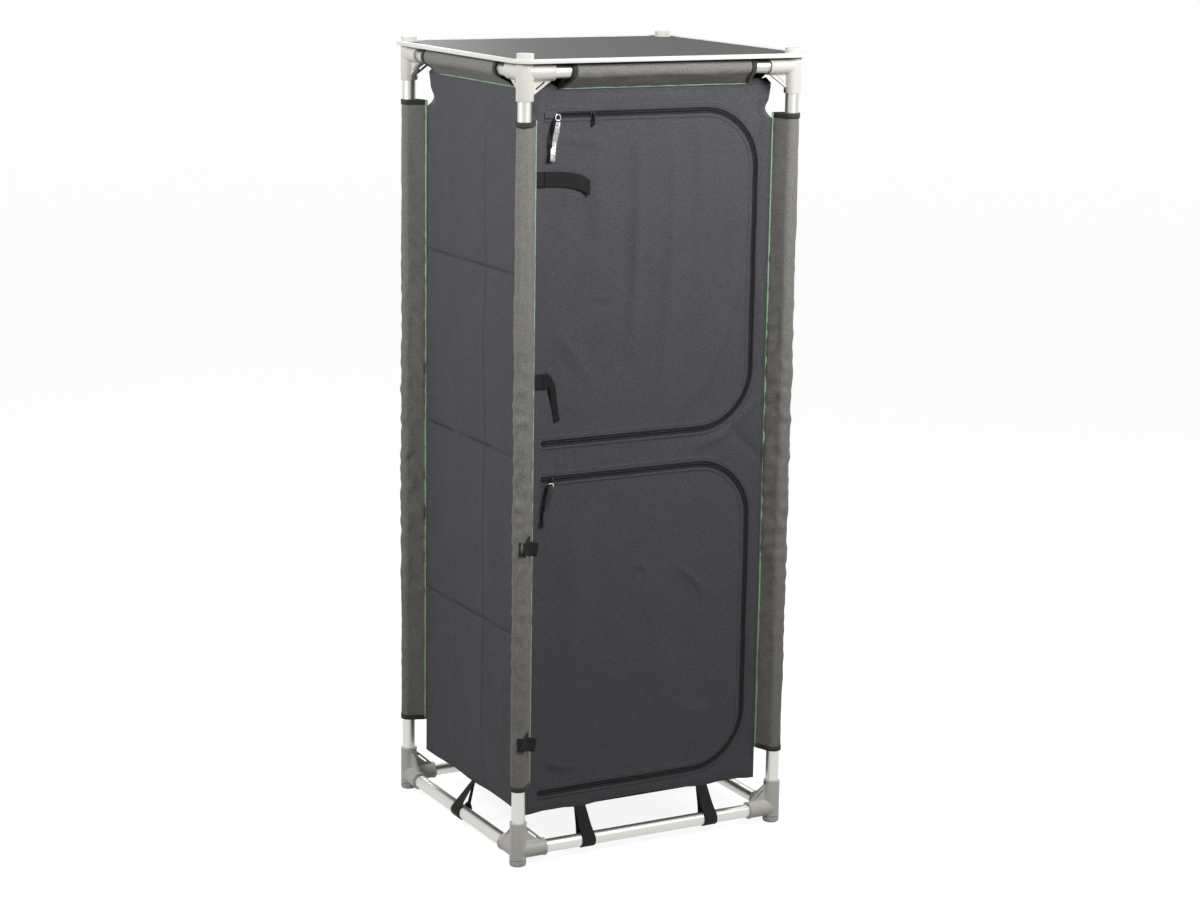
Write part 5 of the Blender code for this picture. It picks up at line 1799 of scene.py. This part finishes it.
def leg_tape(name, root_z):
    """A tape that ties the box to the front left leg, with its knot and loose end."""
    leg = Vector((-LEG_X, -LEG_Y, 0))
    stations = []
    for k in range(20):
        angle = math.radians(230.0 + 72.0 * k / 19)
        middle = leg + Vector((math.cos(angle), math.sin(angle), 0)) * (0.0156 + 0.0007 * math.sin(k * 0.7))
        middle.z = root_z + 0.001 * math.sin(k * 0.35)
        stations.append((middle, Vector((0, 0, 1.0 - 0.10 * abs(math.sin(k * 0.25))))))
    end = stations[-1][0]
    for k in range(1, 9):
        middle = end + Vector((0.0020 * k, 0.0004 * k - 0.0001 * k * k, -0.0004 * k))
        stations.append((middle, Vector((0.02 * k, 0.0, 1.0 - 0.01 * k))))
    spots = ((-0.002, -0.008), (0.002, 0.008), (0.0075, 0.017), (0.0095, 0.024))
    path = smooth_path([leg + Vector((a, -0.0160, root_z + b)) for a, b in spots], 8)
    radii = [0.0050, 0.0052, 0.0052, 0.0050, 0.0046, 0.0040, 0.0032, 0.0022, 0.0010]
    knot = tube_along(f"tie_knot_{name}", path, radii, 10, ALONG_X, squash=0.6)
    dress(knot, "webbing_plain", "frame")
    tie_tape(
        f"tie_tape_{name}", stations, "frame", width=0.026, held="folded", rests_on=["leg_cloth_front_left"],
        with_pieces=[knot],
    )


class CupboardTieTapes(bpy.types.Operator):
    """Make the tie tapes of both doors"""

    bl_idname = "cupboard.tie_tapes"
    bl_label = "Tie tapes"

    def execute(self, context):
        under = ["upper_door_leaf"]
        root_z = node_box("tie_tape_upper")[1].z - TAPE_WIDTH / 2
        spots = [(0.0003, 0.0, 0.0), (0.035, -0.001, 0.0), (0.068, -0.007, 0.0), (0.087, -0.017, 0.0)]
        stations = []
        for k, point in enumerate(tape_line(root_z, spots, 34)):
            share = k / 34
            stand = TAPE_STAND + 0.0024 * math.sin(math.pi * share) + 0.0042 * max(share - 0.82, 0.0) / 0.18
            across = Vector((0.10 * share, -0.16 * math.sin(math.pi * share * 1.3), 1.0)).normalized()
            stations.append((front_place(point.x, point.z, stand), across))
        tie_tape("tie_tape_across", stations, "upper_door", "tie_tape_upper", held="hung", rests_on=under)
        sewn_root("high", root_z)

        root_z = node_box("tie_tape_lower")[1].z - TAPE_WIDTH / 2
        sewn_root("low", root_z)
        spots = [
            (0.0003, 0.0, 0.0016), (0.012, 0.001, 0.0060), (0.018, -0.012, 0.0072), (0.022, -0.034, 0.0040),
            (0.026, -0.054, 0.0024), (0.029, -0.071, 0.0036),
        ]
        hanging = Vector((0.90, -0.35, 0.36)).normalized() * 0.42
        stations = []
        for k, point in enumerate(tape_line(root_z, spots, 40)):
            turn = float(smooth_step(0.10, 0.40, k / 40))
            stations.append((front_place(point.x, point.z, point.y), UP.lerp(hanging, turn)))
        tie_tape(
            "tie_tape_folded", stations, "upper_door", "tie_tape_lower", share=0.62, held="folded",
            rests_on=under,
        )
        for name, root_z in (("high", 0.577), ("low", 0.2255)):
            leg_tape(name, root_z)
        return {"FINISHED"}


# Zip sliders and pulls


def make_slider(name, door, key):
    """A slider: a waisted body, rounded all over, with an arched bridge on it."""
    middle = node_middle(name)
    middle.z = ZIP_SPANS[door][1]
    back = -BOX_Y - TOOTH_STAND
    face = back - 0.0024
    pivot = Vector((middle.x, face - 0.0014, middle.z))
    low, high = (middle.x - 0.005, face, middle.z - 0.0037), (middle.x + 0.005, back, middle.z + 0.0037)
    body = add_block("slider_body", low, high)
    edit_select(body, lambda item: item.normal.x > 0.9, "FACE")
    bpy.ops.transform.resize(value=(1.0, 1.0, 0.66))
    bpy.ops.object.mode_set(mode="OBJECT")
    bevel_edges(body, lambda edge: edge_across(edge, 1) > 0.0005, 0.0015, 4)
    bevel_piece(body, 0.0005, 3, 50.0)
    clear_selection()
    bpy.ops.mesh.primitive_torus_add(
        major_radius=0.0021, minor_radius=0.00075, major_segments=28, minor_segments=10,
        location=pivot, rotation=(0.0, math.tau / 4, 0.0),
    )
    bridge = apply_place(bpy.context.object)
    to_middle = Matrix.Translation((middle.x, 0, 0))
    bridge.data.transform(to_middle @ Matrix.Diagonal((1.7, 1, 1, 1)) @ to_middle.inverted())
    slider = join_pieces(f"{name}_body", [body, bridge])
    smooth_by_angle(slider)
    dress(slider, key, name, name)
    return pivot


def link_path(pivot, turn, width, drop, bend=0.0021):
    """A rounded link that hangs from a pivot, turned with the pull."""
    out, low = width / 2 - bend, bend - drop
    points = []
    for quarter, centre in enumerate(((out, -bend), (-out, -bend), (-out, low), (out, low))):
        points += arc_points(centre, bend, math.tau / 4 * quarter, math.tau / 4, 5)
    return [pivot + turn @ Vector((a, 0, b)) for a, b in points]


class CupboardSliders(bpy.types.Operator):
    """Make the three zip sliders and their pulls"""

    bl_idname = "cupboard.sliders"
    bl_label = "Zip sliders and pulls"

    def execute(self, context):
        for door, tilt, key, ring_start, drop, tape_key in (
            ("upper", 9.0, "gunmetal", 0.0, 0.0090, "crinkled"),
            ("lower", 11.0, "black_metal", -0.0072, 0.0078, "pull_dark"),
        ):
            name, pull = f"{door}_zip", f"{door}_zip_pull"
            pivot = make_slider(f"{name}_slider", door, key)
            pivot.y -= 0.0006
            turn = Matrix.Rotation(math.radians(tilt), 3, "Y")
            path = link_path(pivot + turn @ Vector((0, -0.0008, ring_start)), turn, 0.0086, drop)
            ring = tube_along(f"{name}_ring", path, 0.0010, 8, ALONG_Y, closed=True)
            dress(ring, "silver", pull, pull)

            eye = pivot + turn @ Vector((0, 0, -0.0130))
            path = [pivot + UP * 0.0004, (pivot + eye) / 2, eye - UP * 0.002]
            neck = tube_along(f"{name}_neck", path, 0.0017, 10, ALONG_Y)
            dress(neck, "webbing_plain", pull)

            section = drop_section((0.0, -0.0650), 0.0017, 0.0007, arc=18, tail_arc=3)
            axes, width = (turn @ ALONG_X, ALONG_Y, turn @ UP), 0.0105
            tape, _ = wrap_cloth(
                f"{name}_pull_tape", section, eye - axes[0] * (width / 2), axes, width, lambda r: 0.0,
                step=0.0012, seed=31.0,
            )
            for vertex in tape.data.vertices:
                hang = max(eye.z - vertex.co.z, 0.0)
                twist = 0.0016 * math.sin(hang * 70.0) * (vertex.co.x - eye.x) / 0.005
                vertex.co.y -= twist + 0.0008 * math.sin(hang * 140.0)
            thicken(tape, THICKNESS["pull_tape"])
            dress(tape, tape_key, pull)

            spots = (
                (-0.0048, -0.0022, 0.004), (-0.0062, -0.0030, -0.010), (-0.0068, -0.0026, -0.026),
                (-0.0058, -0.0030, -0.044),
            )
            path = smooth_path([eye + turn @ Vector(spot) for spot in spots], 20)
            strap = tube_along(f"{name}_pull_edge", path, 0.0018, 8, ALONG_Y)
            dress(strap, "webbing_plain", pull)

        name = "second_zip_slider"
        pivot = make_slider(name, "upper", "black_metal")
        spots = ((0, -0.0004, 0.001), (0.0002, -0.0012, -0.008), (0.0006, -0.0006, -0.0195))
        line = smooth_path([pivot + Vector(spot) for spot in spots], 14)
        radii = [0.0022 + 0.0003 * math.sin(k) for k in range(15)]
        cord = tube_along("second_zip_cord", line, radii, 10, ALONG_Y)
        dress(cord, "webbing_plain", name)
        return {"FINISHED"}


# Floor, lamps and view

# Where the camera stands, and its turns about the vertical, up or down, and about its own line
VIEW_PLACE = (-2.3253744, -4.3002365, 1.7388838)
VIEW_TURNS = (0.4986167, 0.2133330, 0.0154691)


def area_lamp(name, place, aim, width, height, power):
    lamp = bpy.data.lights.new(name, "AREA")
    lamp.shape = "RECTANGLE"
    lamp.size, lamp.size_y = width, height
    lamp.energy = power
    piece = new_piece(name, lamp)
    piece.visible_camera = False
    piece.location = place
    piece.rotation_euler = (Vector(aim) - Vector(place)).to_track_quat("-Z", "Y").to_euler()


def seen_rays(tree):
    """1 for what the camera sees, also by reflection or through something clear; otherwise 0."""
    rays = add_node(tree, "ShaderNodeLightPath").outputs
    seen = maths(tree, "MAXIMUM", rays["Is Camera Ray"], rays["Is Glossy Ray"])
    return maths(tree, "MAXIMUM", seen, rays["Is Transmission Ray"])


def floor_material():
    """A pale floor that looks white to the camera and keeps the object's shadow."""
    material, tree, shader = start_material("studio_floor", stage().floor_colour)
    place = add_node(tree, "ShaderNodeTexCoord").outputs["Object"]
    speckle = noise_over(tree, place, Scale=60.0, Detail=2.0)
    shade_colour(tree, shader, stage().floor_colour, speckle, 0.02, 0.98)
    set_inputs(shader, Roughness=0.9, Emission_Color=(1.0, 1.0, 1.0, 1.0))
    tree.links.new(maths(tree, "MULTIPLY", seen_rays(tree), 0.90), shader.inputs["Emission Strength"])
    return material


class CupboardStage(bpy.types.Operator):
    """Set up the floor, the lamps, the white surroundings and the camera"""

    bl_idname = "cupboard.stage"
    bl_label = "Floor, lamps and camera"

    def execute(self, context):
        clear_selection()
        bpy.ops.mesh.primitive_plane_add(size=60.0, location=(0, 0, 0))
        floor = bpy.context.object
        floor.name = "studio_floor"
        floor.data.materials.append(floor_material())

        scene = context.scene
        world = bpy.data.worlds.new("studio_air")
        scene.world = world
        world.use_nodes = True
        tree = world.node_tree
        tree.nodes.clear()
        air = add_node(tree, "ShaderNodeBackground", Color=(1.0, 1.0, 1.0, 1.0))
        strength = maths(tree, "MULTIPLY_ADD", seen_rays(tree), 0.94, 0.06)
        tree.links.new(strength, air.inputs["Strength"])
        leave = add_node(tree, "ShaderNodeOutputWorld")
        tree.links.new(air.outputs["Background"], leave.inputs["Surface"])

        area_lamp("front_lamp", (0.36, -1.52, 2.02), (0.0, -0.21, 1.45), 0.7, 0.6, stage().key_power)
        area_lamp("left_lamp", (-1.85, -0.10, 1.90), (-0.24, 0.0, 1.38), 0.8, 0.6, stage().fill_power)
        area_lamp("right_lamp", (2.0, 0.3, 1.9), (0.24, 0.0, 1.1), 0.8, 0.8, 20.0)
        area_lamp("back_lamp", (0.2, 2.0, 1.9), (0.0, 0.21, 1.1), 0.8, 0.8, 20.0)
        area_lamp("top_lamp", (0.2, 0.6, 3.6), (0.0, 0.0, 0.75), 1.6, 1.6, 7.0)

        view = bpy.data.cameras.new("studio_view")
        view.sensor_width = 36.0
        view.lens = stage().lens
        view.clip_end = 200.0
        camera = new_piece("studio_view", view)
        yaw, pitch, roll = VIEW_TURNS
        ahead = Vector((math.sin(yaw) * math.cos(pitch), math.cos(yaw) * math.cos(pitch), -math.sin(pitch)))
        right = Vector((math.cos(yaw), -math.sin(yaw), 0.0))
        upward = right.cross(ahead)
        across = right * math.cos(roll) + upward * math.sin(roll)
        upward = upward * math.cos(roll) - right * math.sin(roll)
        turn = Matrix((across, upward, -ahead)).transposed().to_4x4()
        camera.matrix_world = Matrix.Translation(VIEW_PLACE) @ turn
        scene.camera = camera
        scene.view_settings.view_transform = "Standard"
        return {"FINISHED"}


class CupboardFinishes(bpy.types.Operator):
    """Make the materials from the colours in the panel"""

    bl_idname = "cupboard.finishes"
    bl_label = "Finishes"

    def execute(self, context):
        weave, grain = weave_group(), grain_group()
        fabric, parts = cloth(), metal()
        FINISHES.update(
            box_cloth=cloth_material("box_cloth", fabric.box_colour, weave, thread=430.0),
            inner_cloth=cloth_material("inner_cloth_finish", fabric.inner_colour, weave, sheen=0.05),
            sleeve_cloth=cloth_material(
                "sleeve_cloth_finish", fabric.sleeve_colour, weave,
                thread=300.0, slub=0.40, mottle=0.14, relief=0.4,
            ),
            piping=cloth_material("piping_finish", fabric.piping_colour, weave, thread=300.0, slub=0.3),
            thread=cloth_material("thread_finish", fabric.thread_colour, weave, sheen=0.0),
            binding=webbing_material("binding_finish", fabric.binding_colour, 0.0012),
            webbing=webbing_material("webbing_finish", fabric.webbing_colour),
            webbing_plain=webbing_material("cord_finish", fabric.webbing_colour, 0.0009),
            zip_tape=webbing_material("zip_tape_finish", fabric.zip_colour, 0.0010),
            pull_dark=webbing_material("pull_tape_finish", (0.055, 0.055, 0.055), 0.0012),
            tube=drawn_tube_material("satin_aluminium_finish", parts.tube_colour),
            crinkled=crinkled_tape_material("crinkled_tape_finish"),
        )
        for key, colour, look in (
            ("zip_teeth", fabric.zip_colour, dict(roughness=0.42)),
            ("connector", parts.connector_colour, dict(marks=0.10, roughness=0.44)),
            ("foot", parts.foot_colour, dict(marks=0.16, roughness=0.5)),
            (
                "board", parts.board_colour,
                dict(fineness=900.0, marks=0.08, roughness=0.62, relief=0.3, specular=0.14),
            ),
            ("rim", parts.rim_colour, dict(marks=0.06, roughness=0.36)),
            ("steel", parts.steel_colour, dict(roughness=0.35, metallic=1.0)),
            ("silver", (0.74, 0.74, 0.74), dict(roughness=0.28, metallic=1.0)),
            ("gunmetal", (0.13, 0.13, 0.13), dict(roughness=0.24, metallic=1.0)),
            ("black_metal", (0.03, 0.03, 0.03), dict(roughness=0.34, metallic=0.7)),
        ):
            FINISHES[key] = moulded_material(f"{key}_finish", colour, grain, **look)
        return {"FINISHED"}


STEPS = (
    CupboardFinishes, CupboardStage, CupboardTubes, CupboardConnectors, CupboardFeet, CupboardTableTop,
    CupboardShelves, CupboardWalls, CupboardFrontPanel, CupboardDoors, CupboardZips, CupboardSleeves,
    CupboardStraps, CupboardTieTapes, CupboardSliders, CupboardStitching,
)


class CupboardPanel(bpy.types.Panel):
    """The cupboard's settings and steps, in the 3D view's sidebar"""

    bl_idname = "VIEW3D_PT_cupboard"
    bl_label = "Camp cupboard"
    bl_space_type = "VIEW_3D"
    bl_region_type = "UI"
    bl_category = "Cupboard"

    def draw(self, context):
        column = self.layout.column()
        for step in STEPS:
            column.operator(step.bl_idname)
        for settings in (cloth(), metal(), stage()):
            box = self.layout.box()
            for name in settings.__annotations__:
                box.prop(settings, name)


CLASSES = (CupboardClothSettings, CupboardFrameSettings, CupboardStageSettings, *STEPS, CupboardPanel)


def register():
    for made in CLASSES:
        bpy.utils.register_class(made)
    bpy.types.Scene.cupboard_cloth = bpy.props.PointerProperty(type=CupboardClothSettings)
    bpy.types.Scene.cupboard_frame = bpy.props.PointerProperty(type=CupboardFrameSettings)
    bpy.types.Scene.cupboard_stage = bpy.props.PointerProperty(type=CupboardStageSettings)


def unregister():
    del bpy.types.Scene.cupboard_stage
    del bpy.types.Scene.cupboard_frame
    del bpy.types.Scene.cupboard_cloth
    for made in reversed(CLASSES):
        bpy.utils.unregister_class(made)


def main():
    register()
    for step in STEPS:
        family, action = step.bl_idname.split(".")
        result = getattr(getattr(bpy.ops, family), action)()
        if "FINISHED" not in result:
            raise RuntimeError(f"{step.bl_label} didn't finish")
    clear_selection()


if __name__ == "__main__":
    main()
